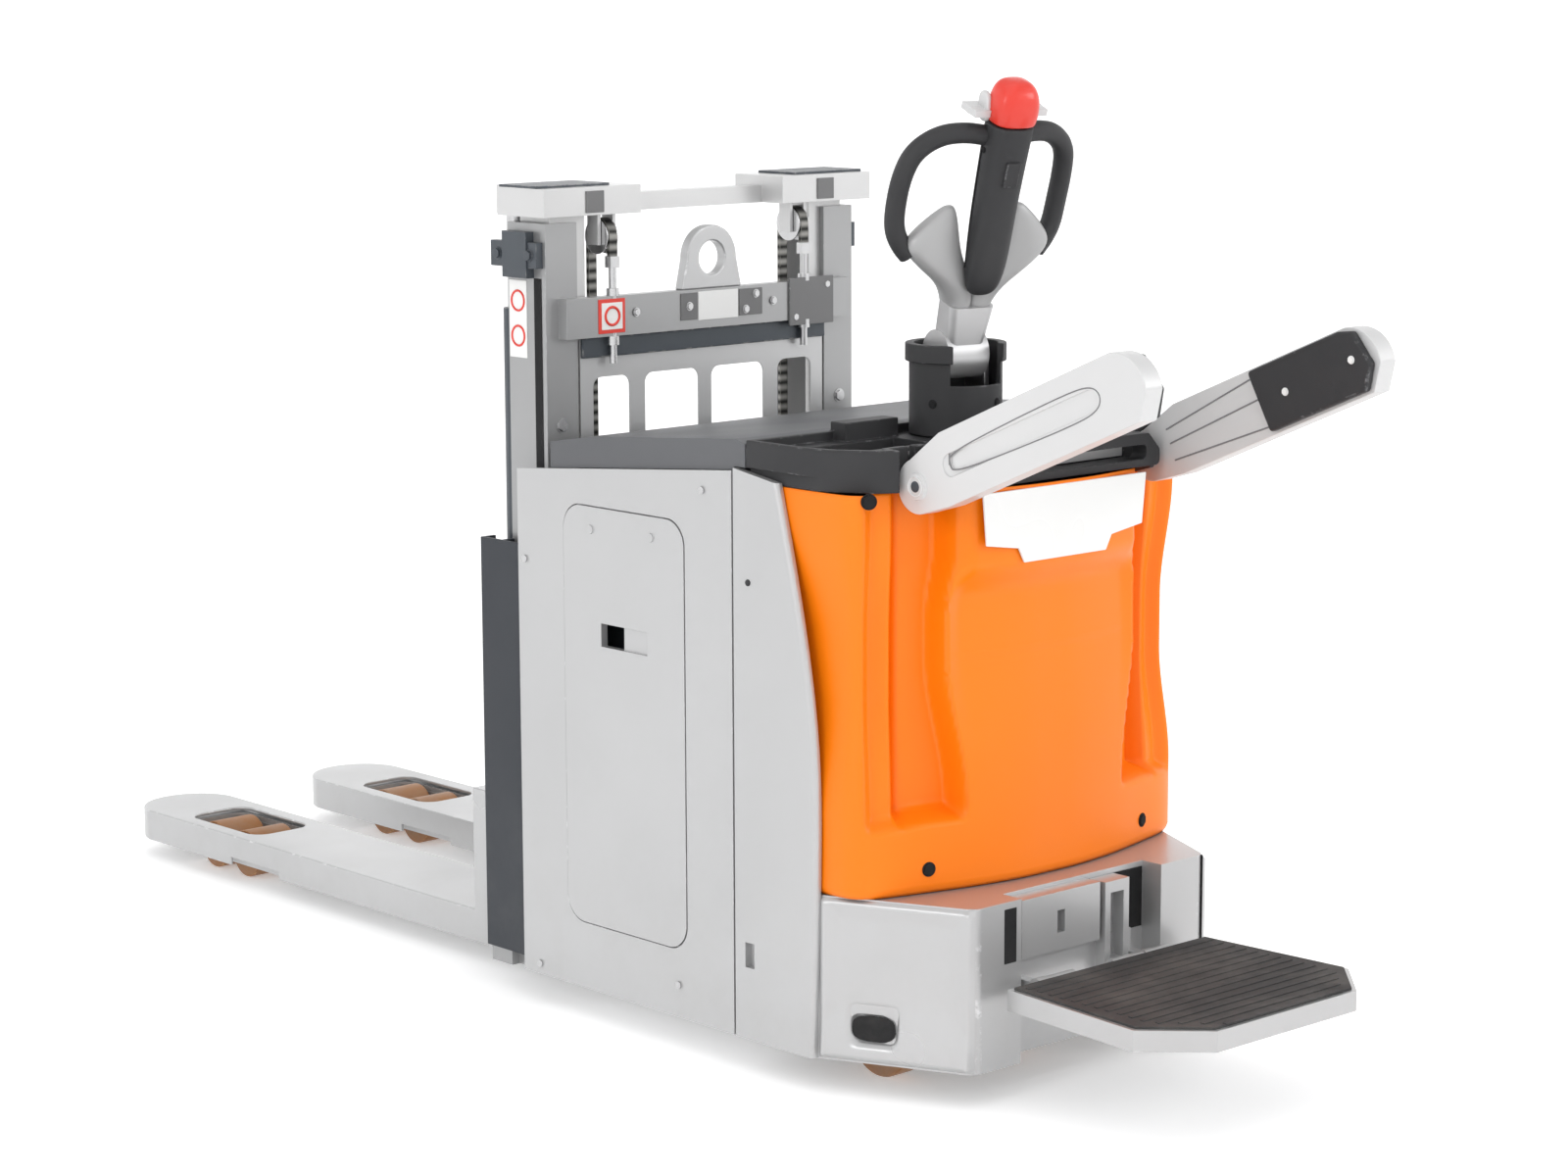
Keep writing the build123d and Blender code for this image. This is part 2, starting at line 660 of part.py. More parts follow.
seam_face_y = seam_gap / 2
side_face = outline([(seam_face_y, box_low), (seam_face_y, box_top(seam_face_y)), (box_len, box_top(box_len)),
                     (box_len, box_low)])
side_panel = profile(side_face, half_w - box_wall, half_w)
side_panel -= profile(door_face(1.5, door_r), half_w - box_wall - 1, half_w + 1)
rebate = profile(door_face(16, door_r), half_w - box_wall - 8, half_w - box_wall)
rebate -= profile(door_face(-14, door_r - 14), half_w - 40, half_w)
battery_box = both(side_panel + rebate)
battery_box += block(-half_w, half_w, seam_face_y, seam_face_y + box_wall, box_low, box_top(0) - 6)
battery_box += block(-half_w, half_w, box_rear_wall_y, box_rear_wall_y + box_wall, box_low, box_top(box_rear_wall_y) - 6)
battery_box += block(-half_w, half_w, seam_face_y, box_rear_wall_y + box_wall, box_low, box_low + box_wall)
hinge_y = lid_back + 8
hinge_z = box_top(lid_back) + 12
hinge_r = 6
for s in (-1, 1):
    x0, x1 = sorted((s * (lid_lug_out + slide_fit), s * 215))
    battery_box += rod_x(x0, x1, hinge_y, hinge_z, hinge_r)
    battery_box += block(x0, x1, hinge_y - 3, box_rear_wall_y + box_wall, box_top(box_rear_wall_y) - 10, hinge_z)
save(battery_box, "battery_box")

door = profile(door_face(0, door_r), half_w - box_wall + 0.4, half_w + 1)
door += profile(door_face(-22, door_r - 18), half_w - box_wall - 6, half_w - box_wall + 1)
door -= block(half_w - 40, half_w + 2, slot_y0, slot_y1, slot_z0, slot_z1)
door -= block(half_w - 4, half_w + 2, 194, slot_y0 + 1, slot_z0, slot_z1)
for y, z in ((326, 779), (184, 782)):
    door += rod_x(half_w, half_w + 3.5, y, z, 7)
save(door, "side_door_right")
save(mirrored(door), "side_door_left")

battery = block(-300, 300, 40, 400, box_low + box_wall, 760)
for i in range(6):
    for j in range(2):
        battery += rod_z(760, 782, -250 + i * 100, 140 + j * 160, 16)
save(battery, "battery")

lid_half = half_w - 6
lid_face = outline([(lid_front, 907), (lid_front, 942), (lid_front + 20, 948), (336, 920), (lid_back, 904),
                    (lid_back, box_top(lid_back) + slide_fit), (seam_face_y, box_top(seam_face_y) + slide_fit),
                    (seam_face_y, 907)])
lid = profile(lid_face, -lid_half, lid_half)
lid -= profile(outline([(8, 905), (8, 934), (330, 906), (lid_back - 8, 892), (lid_back - 8, 860)]),
               -lid_half + 8, lid_half - 8)
for s in (-1, 1):
    x0, x1 = sorted((s * 120, s * lid_lug_out))
    lid += rod_x(x0, x1, hinge_y, hinge_z, hinge_r)
    lid += block(x0, x1, lid_back - 4, hinge_y, hinge_z - 3, hinge_z + 3)
save(lid, "battery_hood")

panel_screws = None
for y, z in ((489, 715), (465, 67), (128, 101), (67, 866)):
    for s in (-1, 1):
        x0, x1 = sorted((s * half_w, s * (half_w + 3)))
        screw = rod_x(x0, x1, y, z, 6)
        panel_screws = screw if panel_screws is None else panel_screws + screw
save(panel_screws, "panel_screws")

# ---- mast ---------------------------------------------------------------------------------------------
channel = block(mast_out_x - mast_flange, mast_out_x, mast_y0, mast_y1, mast_low, mast_top)
channel -= block(mast_out_x - mast_flange - 1, mast_out_x - mast_web, mast_y0 + mast_lip, mast_y1 - mast_lip,
                 mast_low - 1, mast_top + 1)
crossbar_y0 = mast_y0 - 20
outer_mast = both(channel)
outer_mast += block(-300, 300, crossbar_y0, mast_y0, crossbar_z0, crossbar_z1)
chain_rear_y = sheave_y - sheave_r - slide_fit - chain_t / 2
for s in (-1, 1):
    outer_mast -= rod_z(crossbar_z0 - 1, crossbar_z1 + 1, s * sheave_x, chain_rear_y, 6 + pin_fit)
outer_mast += block(-mast_out_x, mast_out_x, box_rear_wall_y + box_wall, mast_y0, 90, 240)
outer_mast += block(-mast_out_x, mast_out_x, mast_y0 - 20, mast_y1, 40, mast_low)
outer_mast += both(block(260, 340, mast_y1 - 1, cyl_y + cyl_r + 6, 40, mast_low + 6))
save(outer_mast, "outer_mast")

eye_face = make_face(
    Polyline((-63, crossbar_z1), (63, crossbar_z1), (eye_outer_r, eye_z))
    + ThreePointArc((eye_outer_r, eye_z), (0, eye_z + eye_outer_r), (-eye_outer_r, eye_z))
    + Line((-eye_outer_r, eye_z), (-63, crossbar_z1))
)
lifting_eye = elevation(eye_face, crossbar_y0, crossbar_y0 + eye_t)
lifting_eye -= rod_y(crossbar_y0 - 1, mast_y0 + 10, 0, eye_z, eye_r)
save(lifting_eye, "lifting_eye")

guard_y = mast_y0
guard_face = outline([(-258, 560), (-258, crossbar_z0 + 16), (258, crossbar_z0 + 16), (258, 560)])
mast_guard = elevation(guard_face, guard_y, guard_y + 2.5)
for x0, x1 in ((-232, -158), (-126, -14), (14, 126), (158, 232)):
    for z0, z1 in ((600, 780), (806, 990)):
        window = outline([(x0, z0), (x0, z1), (x1, z1), (x1, z0)], 16)
        mast_guard -= elevation(window, guard_y - 2, guard_y + 5)
save(mast_guard, "mast_guard")

apron_y0 = box_len + 1.5
apron_y1 = mast_y1 + 48
apron = block(mast_out_x + 21, mast_out_x + 27, apron_y0, apron_y1, 68, 735)
for y0, y1 in ((apron_y0, apron_y0 + 6), (mast_y1 - 6, mast_y1), (apron_y1 - 6, apron_y1)):
    apron += block(mast_out_x, mast_out_x + 22, y0, y1, 68, 735)
save(both(apron), "mast_apron")

lift_cylinders = both(rod_z(mast_low + 6, cyl_top, cyl_x, cyl_y, cyl_r)
                      - rod_z(mast_low + 30, cyl_top + 1, cyl_x, cyl_y, cyl_rod_r + pin_fit))
save(lift_cylinders, "lift_cylinders")

anchor = rod_z(1012, anchor_top - 18, sheave_x, chain_rear_y, 6)
anchor += block(sheave_x - 9, sheave_x + 9, chain_rear_y - 7, chain_rear_y + 7, anchor_top - 18, anchor_top)
anchor += rod_z(crossbar_z0 - 14, crossbar_z0, sheave_x, chain_rear_y, 10)
anchor += rod_z(crossbar_z1, crossbar_z1 + 12, sheave_x, chain_rear_y, 10)
save(both(anchor), "chain_anchors")

# ---- inner mast, rods, sheaves, chains ---------------------------------------------------------------------
inner_x = mast_out_x - mast_web - inner_gap
inner_y0 = mast_y0 + mast_lip + slide_fit
inner_y1 = mast_y1 - mast_lip - slide_fit
inner_channel = block(inner_x - inner_flange, inner_x, inner_y0, inner_y1, mast_low + 12, crosshead_z0)
inner_channel -= block(inner_x - inner_flange - 1, inner_x - mast_web, inner_y0 + inner_lip, inner_y1 - inner_lip,
                       mast_low + 11, crosshead_z0 - 1)
end_block = block(150, 345, 449, mast_y1, crosshead_z0, crosshead_z1)
end_block += block(cyl_x - 24, cyl_x + 24, mast_y1 - 1, cyl_y + 18, crosshead_z0, crosshead_z1)
end_block += block(sheave_x + sheave_w / 2 + 1, sheave_x + sheave_w / 2 + 7, sheave_y - 13, sheave_y + 13,
                   sheave_z - 13, crosshead_z0 + 1)
end_block += block(sheave_x - sheave_w / 2 - 7, sheave_x - sheave_w / 2 - 1, sheave_y - 13, sheave_y + 13,
                   sheave_z - 13, crosshead_z0 + 1)
end_block += rod_x(sheave_x - sheave_w / 2 - 7, sheave_x + sheave_w / 2 + 7, sheave_y, sheave_z, sheave_pin_r)
inner_mast = both(inner_channel + end_block)
inner_mast += block(-160, 160, 500, 532, crosshead_z0, crosshead_z0 + 28)
tie_x = mast_out_x - mast_flange - 4
inner_mast += block(-tie_x, tie_x, inner_y0 - 6, inner_y0 + inner_lip, mast_low + 40, mast_low + 100)
save(inner_mast, "inner_mast")

save(both(rod_z(mast_low + 34, crosshead_z0, cyl_x, cyl_y, cyl_rod_r)), "piston_rods")

sheave = rod_x(sheave_x - sheave_w / 2, sheave_x + sheave_w / 2, sheave_y, sheave_z, sheave_r + 6)
sheave -= (rod_x(sheave_x - chain_w / 2 - 0.6, sheave_x + chain_w / 2 + 0.6, sheave_y, sheave_z, sheave_r + 10)
           - rod_x(sheave_x - 20, sheave_x + 20, sheave_y, sheave_z, sheave_r))
sheave -= rod_x(sheave_x - 30, sheave_x + 30, sheave_y, sheave_z, sheave_pin_r + pin_fit)
save(both(sheave), "chain_sheaves")

bend = rod_x(sheave_x - chain_w / 2, sheave_x + chain_w / 2, sheave_y, sheave_z, sheave_r + slide_fit + chain_t)
bend -= rod_x(sheave_x - 30, sheave_x + 30, sheave_y, sheave_z, sheave_r + slide_fit)
bend -= block(sheave_x - 30, sheave_x + 30, sheave_y - 50, sheave_y + 50, sheave_z - 50, sheave_z)
chain_front_y = sheave_y + sheave_r + slide_fit + chain_t / 2
chain = bend
for y, z0 in ((chain_front_y, chain_low), (chain_rear_y, anchor_top)):
    chain += block(sheave_x - chain_w / 2, sheave_x + chain_w / 2, y - chain_t / 2, y + chain_t / 2, z0, sheave_z)
save(both(chain), "lift_chains")

# ---- carriage and forks ------------------------------------------------------------------------------------
side_plate = block(plate_x, plate_x + plate_t, inner_y0 + inner_lip + 8, carriage_y1, 80, plate_top)
side_plate -= profile(outline([(carriage_y0 - 30, 300), (carriage_y0 - 30, 470), (carriage_y1 + 1, 470),
                               (carriage_y1 + 1, 300)]), plate_x - 1, plate_x + plate_t + 1)
roller_z = (120, 420)
mast_roller_r = (inner_y1 - inner_y0) / 2 - inner_lip - slide_fit
mast_roller_y = (inner_y0 + inner_y1) / 2
for z in roller_z:
    side_plate += rod_x(plate_x + plate_t - 1, inner_x - mast_web - 2, mast_roller_y, z, mast_roller_r)
chain_lug = block(sheave_x - 10, plate_x + 1, chain_front_y - 9, chain_front_y + 9, chain_low - 24, chain_low)
fork_carriage = both(side_plate + chain_lug)
fork_carriage += block(-285, 285, carriage_y0, carriage_y1, 60, 130)
fork_carriage += block(-285, 285, carriage_y0, carriage_y1, 226, 290)
fork_carriage += both(block(245, 285, carriage_y0, carriage_y1, 60, 290))
save(fork_carriage, "fork_carriage")

tip = fork_reach
fork_face = make_face(
    Polyline((fork_in, tip - nose_r), (fork_in, carriage_y1), (fork_out, carriage_y1), (fork_out, tip - nose_r))
    + ThreePointArc((fork_out, tip - nose_r), ((fork_in + fork_out) / 2, tip), (fork_in, tip - nose_r))
)
fork = plan(fork_face, fork_low, fork_top) - plan(offset(fork_face, -fork_t), fork_low - 1, fork_top - fork_t)
fork += block(fork_in, fork_out, carriage_y1, heel_y, fork_top - fork_t, heel_top)
fork -= block(fork_in + fork_t, fork_out - fork_t, carriage_y1 - 1, heel_y, fork_low - 1, fork_top - fork_t)
window_face = outline([(window_in, window_y0), (window_in, window_y1), (window_out, window_y1),
                       (window_out, window_y0)], 30)
fork -= plan(window_face, fork_top - fork_t - 1, fork_top + 1)
fork -= block(fork_out - fork_t - 1, fork_out + 1, window_y0 - 110, window_y0 + 40, fork_low - 1, fork_low + 14)
fork -= block(fork_in - 1, fork_in + fork_t + 1, window_y0 - 110, window_y0 + 40, fork_low - 1, fork_low + 14)
save(fork, "fork_right")
save(mirrored(fork), "fork_left")

# ---- support arms with levers, bogies and load wheels ----------------------------------------------------------
leg = block(leg_in, leg_out, mast_y0 - 20, leg_end, leg_low, leg_top)
leg -= block(leg_in + leg_wall, leg_out - leg_wall, mast_y0, leg_end - 10, leg_low - 1, leg_top - 5)
leg -= plan(window_face, leg_top - 10, leg_top + 1)
leg -= block(leg_in - 1, leg_out + 1, mast_y0 - 21, carriage_y1 + 4, mast_low - 20, leg_top + 1)
leg += block(leg_in, leg_out, mast_y0 - 20, mast_y1, leg_low, mast_low - 20)
leg -= rod_x(leg_in - 1, leg_out + 1, lever_y, lever_z, axle_r + pin_fit)
save(both(leg), "support_arms")

bogie_z = roller_r
lever = rod_x(leg_in, leg_out, lever_y, lever_z, axle_r) + rod_x(136, 244, lever_y, lever_z, 14)
bar_face = Pos((lever_y + bogie_y) / 2, (lever_z + bogie_z) / 2) * Rot(0, 0, -lever_rest) * SlotCenterToCenter(
    lever_len, 2 * lever_r)
for x0, x1 in ((135, 140), (240, 245)):
    lever += profile(bar_face, x0, x1)
for x0, x1 in ((135, 147), (233, 245)):
    lever += rod_x(x0, x1, bogie_y, bogie_z, lever_pin_r)
save(both(lever), "wheel_levers")

for s, side in ((1, "right"), (-1, "left")):
    bogie = None
    for x0, x1 in ((141.5, 146.5), (233.5, 238.5)):
        cheek = block(x0, x1, bogie_y - roller_pitch / 2 - 14, bogie_y + roller_pitch / 2 + 14, 28, 57)
        cheek -= rod_x(x0 - 1, x1 + 1, bogie_y, bogie_z, lever_pin_r + pin_fit)
        bogie = cheek if bogie is None else bogie + cheek
    for t in (-1, 1):
        bogie += rod_x(141.5, 238.5, bogie_y + t * roller_pitch / 2, bogie_z, axle_r)
    save(bogie if s > 0 else mirrored(bogie), f"bogie_{side}")
    for t, place in ((-1, "rear"), (1, "front")):
        y = bogie_y + t * roller_pitch / 2
        x0, x1 = sorted((s * (roller_x - roller_w / 2), s * (roller_x + roller_w / 2)))
        roller = rod_x(x0, x1, y, bogie_z, roller_r)
        roller -= rod_x(x0 - 1, x1 + 1, y, bogie_z, axle_r + pin_fit)
        save(roller, f"roller_{place}_{side}")
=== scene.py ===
"""Looks of a rider pallet stacker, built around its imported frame."""

import logging
from dataclasses import dataclass, replace
from enum import Enum
from functools import cache
from math import cos, hypot, pi, radians, sin
from typing import Callable

import bmesh
import bpy
from mathutils import Matrix, Vector


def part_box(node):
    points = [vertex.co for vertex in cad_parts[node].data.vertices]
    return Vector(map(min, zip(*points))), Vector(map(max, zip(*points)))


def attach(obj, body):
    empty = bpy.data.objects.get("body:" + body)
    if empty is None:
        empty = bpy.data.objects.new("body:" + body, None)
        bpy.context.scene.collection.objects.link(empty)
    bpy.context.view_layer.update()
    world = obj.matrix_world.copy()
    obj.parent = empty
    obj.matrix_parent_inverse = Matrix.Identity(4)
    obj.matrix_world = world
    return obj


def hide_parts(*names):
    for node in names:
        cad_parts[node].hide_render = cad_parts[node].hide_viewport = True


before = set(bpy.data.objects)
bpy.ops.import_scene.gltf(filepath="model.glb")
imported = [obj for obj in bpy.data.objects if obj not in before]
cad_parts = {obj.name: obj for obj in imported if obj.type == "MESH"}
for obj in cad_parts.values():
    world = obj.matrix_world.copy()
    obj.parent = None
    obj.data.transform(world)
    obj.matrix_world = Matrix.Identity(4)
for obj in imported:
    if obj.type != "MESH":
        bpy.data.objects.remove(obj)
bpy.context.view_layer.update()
log = logging.getLogger("stacker")

Colour = tuple[float, float, float]
Point = tuple[float, float, float]
Plan = tuple[float, float]
Span = tuple[Point, Point]                      # a low and a high corner
Ring = tuple[Vector, Vector, Vector, float]     # middle, half width, half depth, squareness
Node, Tree, Socket = bpy.types.Node, bpy.types.NodeTree, bpy.types.NodeSocket

PER_METRE = 1000            # most sizes are given in millimetres
SEAM_Y = -0.520             # the seam between the drive and lifting sections
YAW = radians(-12)          # the tiller and drive wheel stand turned at rest
LEAN = radians(20)          # the tiller leans towards the operator
TILLER_Y = -100.0           # the tiller's hinge, from the seam
TILLER_Z = 1055.0           # and from the floor
ARM_RISE = radians(23)      # the guard arms stand raised at rest
FORWARD = Vector((0, -1, 0))
UP = Vector((0, 0, 1))


def at(x: float, y: float, z: float) -> Vector:
    """A point given in millimetres from the seam, as metres in the frame."""
    return Vector((x / PER_METRE, y / PER_METRE + SEAM_Y, z / PER_METRE))


def on_tiller(x: float, y: float, s: float) -> Vector:
    """A point on the tiller, as metres in the frame.

    Args:
        x: millimetres to the right.
        y: millimetres towards the front of the tiller.
        s: millimetres along the tiller from its hinge.

    Returns:
        The point.
    """
    back = y * cos(LEAN) - s * sin(LEAN)
    up = y * sin(LEAN) + s * cos(LEAN)
    return at(x * cos(YAW) - back * sin(YAW), x * sin(YAW) + back * cos(YAW) + TILLER_Y, up + TILLER_Z)


def ease(low: float, high: float, value: float) -> float:
    """A smooth step from 0 at low to 1 at high."""
    t = min(1.0, max(0.0, (value - low) / (high - low)))
    return t * t * (3 - 2 * t)


def between(low: float, high: float, soft: float, value: float) -> float:
    """1 inside low to high, falling smoothly to 0 over soft on both sides."""
    return ease(low - soft, low + soft, value) * (1 - ease(high - soft, high + soft, value))


def corners_cut(points: list[Vector], rounds: int = 3) -> list[Vector]:
    """A smoother run of points, with every corner cut a few times.

    Args:
        points: the corner points.
        rounds: how many times the corners are cut.

    Returns:
        The new points, with both ends kept.
    """
    for _ in range(rounds):
        cut = [points[0]]
        for a, b in zip(points, points[1:]):
            cut += [a.lerp(b, 0.25), a.lerp(b, 0.75)]
        points = [*cut, points[-1]]
    return points


class Path:
    """A smooth plan curve through a few corner points, read by its length."""

    def __init__(self, corners: list[Plan], rounds: int = 4) -> None:
        """Cut the corners a few times over.

        Args:
            corners: the corner points in millimetres.
            rounds: how many times the corners are cut.
        """
        points = list(corners)
        for _ in range(rounds):
            cut = [points[0]]
            for (ax, ay), (bx, by) in zip(points, points[1:]):
                cut += [((1 - t) * ax + t * bx, (1 - t) * ay + t * by) for t in (0.25, 0.75)]
            points = [*cut, points[-1]]
        self.points = points
        self.lengths = [0.0]
        for (ax, ay), (bx, by) in zip(points, points[1:]):
            self.lengths.append(self.lengths[-1] + hypot(bx - ax, by - ay))

    def read(self, share: float) -> tuple[float, float, float, float]:
        """Read the curve at a share of its length.

        Args:
            share: 0 at the start, 1 at the end.

        Returns:
            The point's x and y, and the unit vector to its left.
        """
        want = share * self.lengths[-1]
        i = max(1, next((k for k, d in enumerate(self.lengths) if d >= want), len(self.lengths) - 1))
        (ax, ay), (bx, by) = self.points[i - 1], self.points[i]
        step = max(1e-9, self.lengths[i] - self.lengths[i - 1])
        t = (want - self.lengths[i - 1]) / step
        return ax + (bx - ax) * t, ay + (by - ay) * t, -(by - ay) / step, (bx - ax) / step


# ---- finishes ----------------------------------------------------------------


def feed(tree: Tree, node: Node, inputs: dict[str | int, object]) -> None:
    """Link or set a node's inputs.

    Args:
        tree: the tree the node is in.
        node: the node.
        inputs: each input's value, or the socket that feeds it.
    """
    for name, value in inputs.items():
        if isinstance(value, Socket):
            tree.links.new(value, node.inputs[name])
        else:
            node.inputs[name].default_value = value


def add_node(tree: Tree, kind: str, inputs: dict[str | int, object], **settings: object) -> Node:
    """Add a shader node, set it up and feed it.

    Args:
        tree: the tree it goes into.
        kind: its type, without the leading ShaderNode.
        inputs: each input's value, or the socket that feeds it.
        settings: the node's own settings.

    Returns:
        The new node.
    """
    made = tree.nodes.new(f"ShaderNode{kind}")
    for name, value in settings.items():
        setattr(made, name, value)
    feed(tree, made, inputs)
    return made


def mixed(tree: Tree, factor: Socket, a: Colour | Socket, b: Colour) -> Socket:
    """A colour mix.

    Args:
        tree: the material's tree.
        factor: what drives the mix.
        a: a colour or a colour socket.
        b: the second colour.

    Returns:
        The mixed colour's socket.
    """
    first = a if isinstance(a, Socket) else (*a, 1.0)
    mix = add_node(tree, "Mix", {"Factor": factor, "A": first, "B": (*b, 1.0)}, data_type="RGBA")
    return mix.outputs["Result"]


class Kind(Enum):
    """The families of surface on the machine."""

    PAINT = "paint"
    MOULDED = "moulded"
    STEEL = "steel"
    RUBBER = "rubber"
    TREAD = "tread"
    CHAIN = "chain"


class Effects:
    """Shader node groups that several finishes share, each built once."""

    @staticmethod
    def _tree(name: str, inputs: dict[str, float], outputs: tuple[str, ...]) -> tuple[Tree, Node, Node]:
        """An empty group with its sockets.

        Args:
            name: the group's name.
            inputs: each number it takes after Vector, with its default.
            outputs: each number it gives.

        Returns:
            The node tree, its Group Input and its Group Output.
        """
        tree = bpy.data.node_groups.new(name, "ShaderNodeTree")
        tree.interface.new_socket(name="Vector", in_out="INPUT", socket_type="NodeSocketVector")
        for label, value in inputs.items():
            socket = tree.interface.new_socket(name=label, in_out="INPUT", socket_type="NodeSocketFloat")
            socket.default_value = value
        for label in outputs:
            tree.interface.new_socket(name=label, in_out="OUTPUT", socket_type="NodeSocketFloat")
        return tree, tree.nodes.new("NodeGroupInput"), tree.nodes.new("NodeGroupOutput")

    @staticmethod
    @cache
    def wear() -> Tree:
        """Broken-up rubbing along edges. In: Vector, Edge, Scale, Amount. Out: Mask.

        Returns:
            The node group.
        """
        tree, source, sink = Effects._tree("edge_wear", {"Edge": 0.0, "Scale": 60.0, "Amount": 0.5},
                                           ("Mask",))
        given = source.outputs
        noise = add_node(tree, "TexNoise", {"Vector": given["Vector"], "Scale": given["Scale"],
                                            "Detail": 5.0, "Roughness": 0.65})
        low = add_node(tree, "Math", {0: 1.0, 1: given["Amount"]}, operation="SUBTRACT").outputs[0]
        high = add_node(tree, "Math", {0: low, 1: 0.12}, operation="ADD").outputs[0]
        patch = add_node(tree, "MapRange", {"Value": noise.outputs["Fac"], "From Min": low, "From Max": high})
        both = add_node(tree, "Math", {0: patch.outputs["Result"], 1: given["Edge"]}, operation="MULTIPLY")
        feed(tree, sink, {"Mask": both.outputs[0]})
        return tree

    @staticmethod
    @cache
    def dust() -> Tree:
        """Dust and scuffs that gather near the floor. In: Vector, Amount, Reach. Out: Mask.

        Returns:
            The node group.
        """
        tree, source, sink = Effects._tree("floor_dust", {"Amount": 0.3, "Reach": 0.35}, ("Mask",))
        given = source.outputs
        noise = add_node(tree, "TexNoise", {"Vector": given["Vector"], "Scale": 9.0, "Detail": 7.0,
                                            "Roughness": 0.7})
        height = add_node(tree, "SeparateXYZ", {"Vector": given["Vector"]}).outputs["Z"]
        near = add_node(tree, "MapRange", {"Value": height, "From Min": 0.0, "From Max": given["Reach"],
                                           "To Min": 1.0, "To Max": 0.12})
        patch = add_node(tree, "MapRange", {"Value": noise.outputs["Fac"], "From Min": 0.42,
                                            "From Max": 0.72})
        low = add_node(tree, "Math", {0: near.outputs["Result"], 1: patch.outputs["Result"]},
                       operation="MULTIPLY")
        mask = add_node(tree, "Math", {0: low.outputs[0], 1: given["Amount"]}, operation="MULTIPLY")
        feed(tree, sink, {"Mask": mask.outputs[0]})
        return tree

    @staticmethod
    @cache
    def grain() -> Tree:
        """A surface's fine relief and slow shade. In: Vector, Scale, Slow Scale. Out: Height, Shade.

        Returns:
            The node group.
        """
        tree, source, sink = Effects._tree("surface_grain", {"Scale": 900.0, "Slow Scale": 3.0},
                                           ("Height", "Shade"))
        for scale, detail, result in (("Scale", 3.0, "Height"), ("Slow Scale", 2.0, "Shade")):
            noise = add_node(tree, "TexNoise", {"Vector": source.outputs["Vector"],
                                                "Scale": source.outputs[scale], "Detail": detail})
            feed(tree, sink, {result: noise.outputs["Fac"]})
        return tree


DUST_COLOUR = (0.30, 0.285, 0.26)
COAT_ROUGHNESS = 0.12
ROUGHNESS_SWING = 0.07      # how far the slow patches move the roughness either way
RELIEF = 0.0006             # the grain's height in metres
LINK_BANDS = 19.6           # the wave scale that gives one band a chain link


@dataclass(frozen=True)
class Finish:
    """One surface finish and its Principled material.

    Args:
        name: the material's name.
        slot: the record's material slot.
        kind: the surface family.
        colour: the main colour, linear.
        second: the colour it drifts towards in slow patches, or of a chain's link faces.
        worn: the colour that rubbed edges show.
        roughness: the middle roughness.
        metallic: the metallic share.
        grain_scale: how fine the relief is, per metre.
        grain_depth: the relief's bump strength.
        wear: how much of the edges is rubbed, 0 to 1.
        dust: how much floor dust it carries, 0 to 1.
        coat: a clear coat's weight.
        stretch: grain stretch along X, Y and Z, for brushed metal.
    """

    name: str
    slot: str
    kind: Kind
    colour: Colour
    second: Colour
    worn: Colour
    roughness: float = 0.5
    metallic: float = 0.0
    grain_scale: float = 900.0
    grain_depth: float = 0.12
    wear: float = 0.42
    dust: float = 0.25
    coat: float = 0.0
    stretch: Point = (1.0, 1.0, 1.0)

    def material(self) -> bpy.types.Material:
        """The finish's material, built on first use."""
        found = bpy.data.materials.get(f"{self.name}_finish")
        return found if found else self._build()

    def _build(self) -> bpy.types.Material:
        """Lay out the nodes: grain and dust over the colour, wear along the edges.

        Returns:
            The new material.
        """
        made = bpy.data.materials.new(f"{self.name}_finish")
        made.use_nodes = True
        tree = made.node_tree
        place = add_node(tree, "TexCoord", {}).outputs["Object"]
        stretched = add_node(tree, "Mapping", {"Vector": place, "Scale": self.stretch}).outputs["Vector"]
        grain = add_node(tree, "Group", {"Vector": stretched, "Scale": self.grain_scale},
                         node_tree=Effects.grain()).outputs
        dust = add_node(tree, "Group", {"Vector": place, "Amount": self.dust}, node_tree=Effects.dust())
        edge = add_node(tree, "Attribute", {}, attribute_name="edge")
        wear = add_node(tree, "Group", {"Vector": place, "Edge": edge.outputs["Fac"], "Amount": self.wear},
                        node_tree=Effects.wear())
        drift = grain["Shade"]
        # a chain's near-black bands are the gaps between its links: dark oiled steel and painted shade there
        if self.kind is Kind.CHAIN:
            bands = add_node(tree, "TexWave", {"Vector": place, "Scale": LINK_BANDS}, bands_direction="Z")
            drift = bands.outputs["Fac"]
        base = mixed(tree, drift, self.colour, self.second)
        dusty = mixed(tree, dust.outputs["Mask"], base, DUST_COLOUR)
        rough = add_node(tree, "MapRange", {
            "Value": grain["Shade"], "From Min": 0.3, "From Max": 0.7,
            "To Min": max(0.05, self.roughness - ROUGHNESS_SWING),
            "To Max": min(0.98, self.roughness + ROUGHNESS_SWING)})
        bump = add_node(tree, "Bump", {"Height": grain["Height"], "Strength": self.grain_depth,
                                       "Distance": RELIEF})
        surface = {"Base Color": mixed(tree, wear.outputs["Mask"], dusty, self.worn),
                   "Roughness": rough.outputs["Result"], "Normal": bump.outputs["Normal"],
                   "Metallic": self.metallic, "Coat Weight": self.coat, "Coat Roughness": COAT_ROUGHNESS}
        if self.kind in (Kind.RUBBER, Kind.MOULDED):
            surface["Specular IOR Level"] = 0.3
        if self.kind is Kind.TREAD:
            surface["Subsurface Weight"] = 0.08
        feed(tree, tree.nodes["Principled BSDF"], surface)
        return made


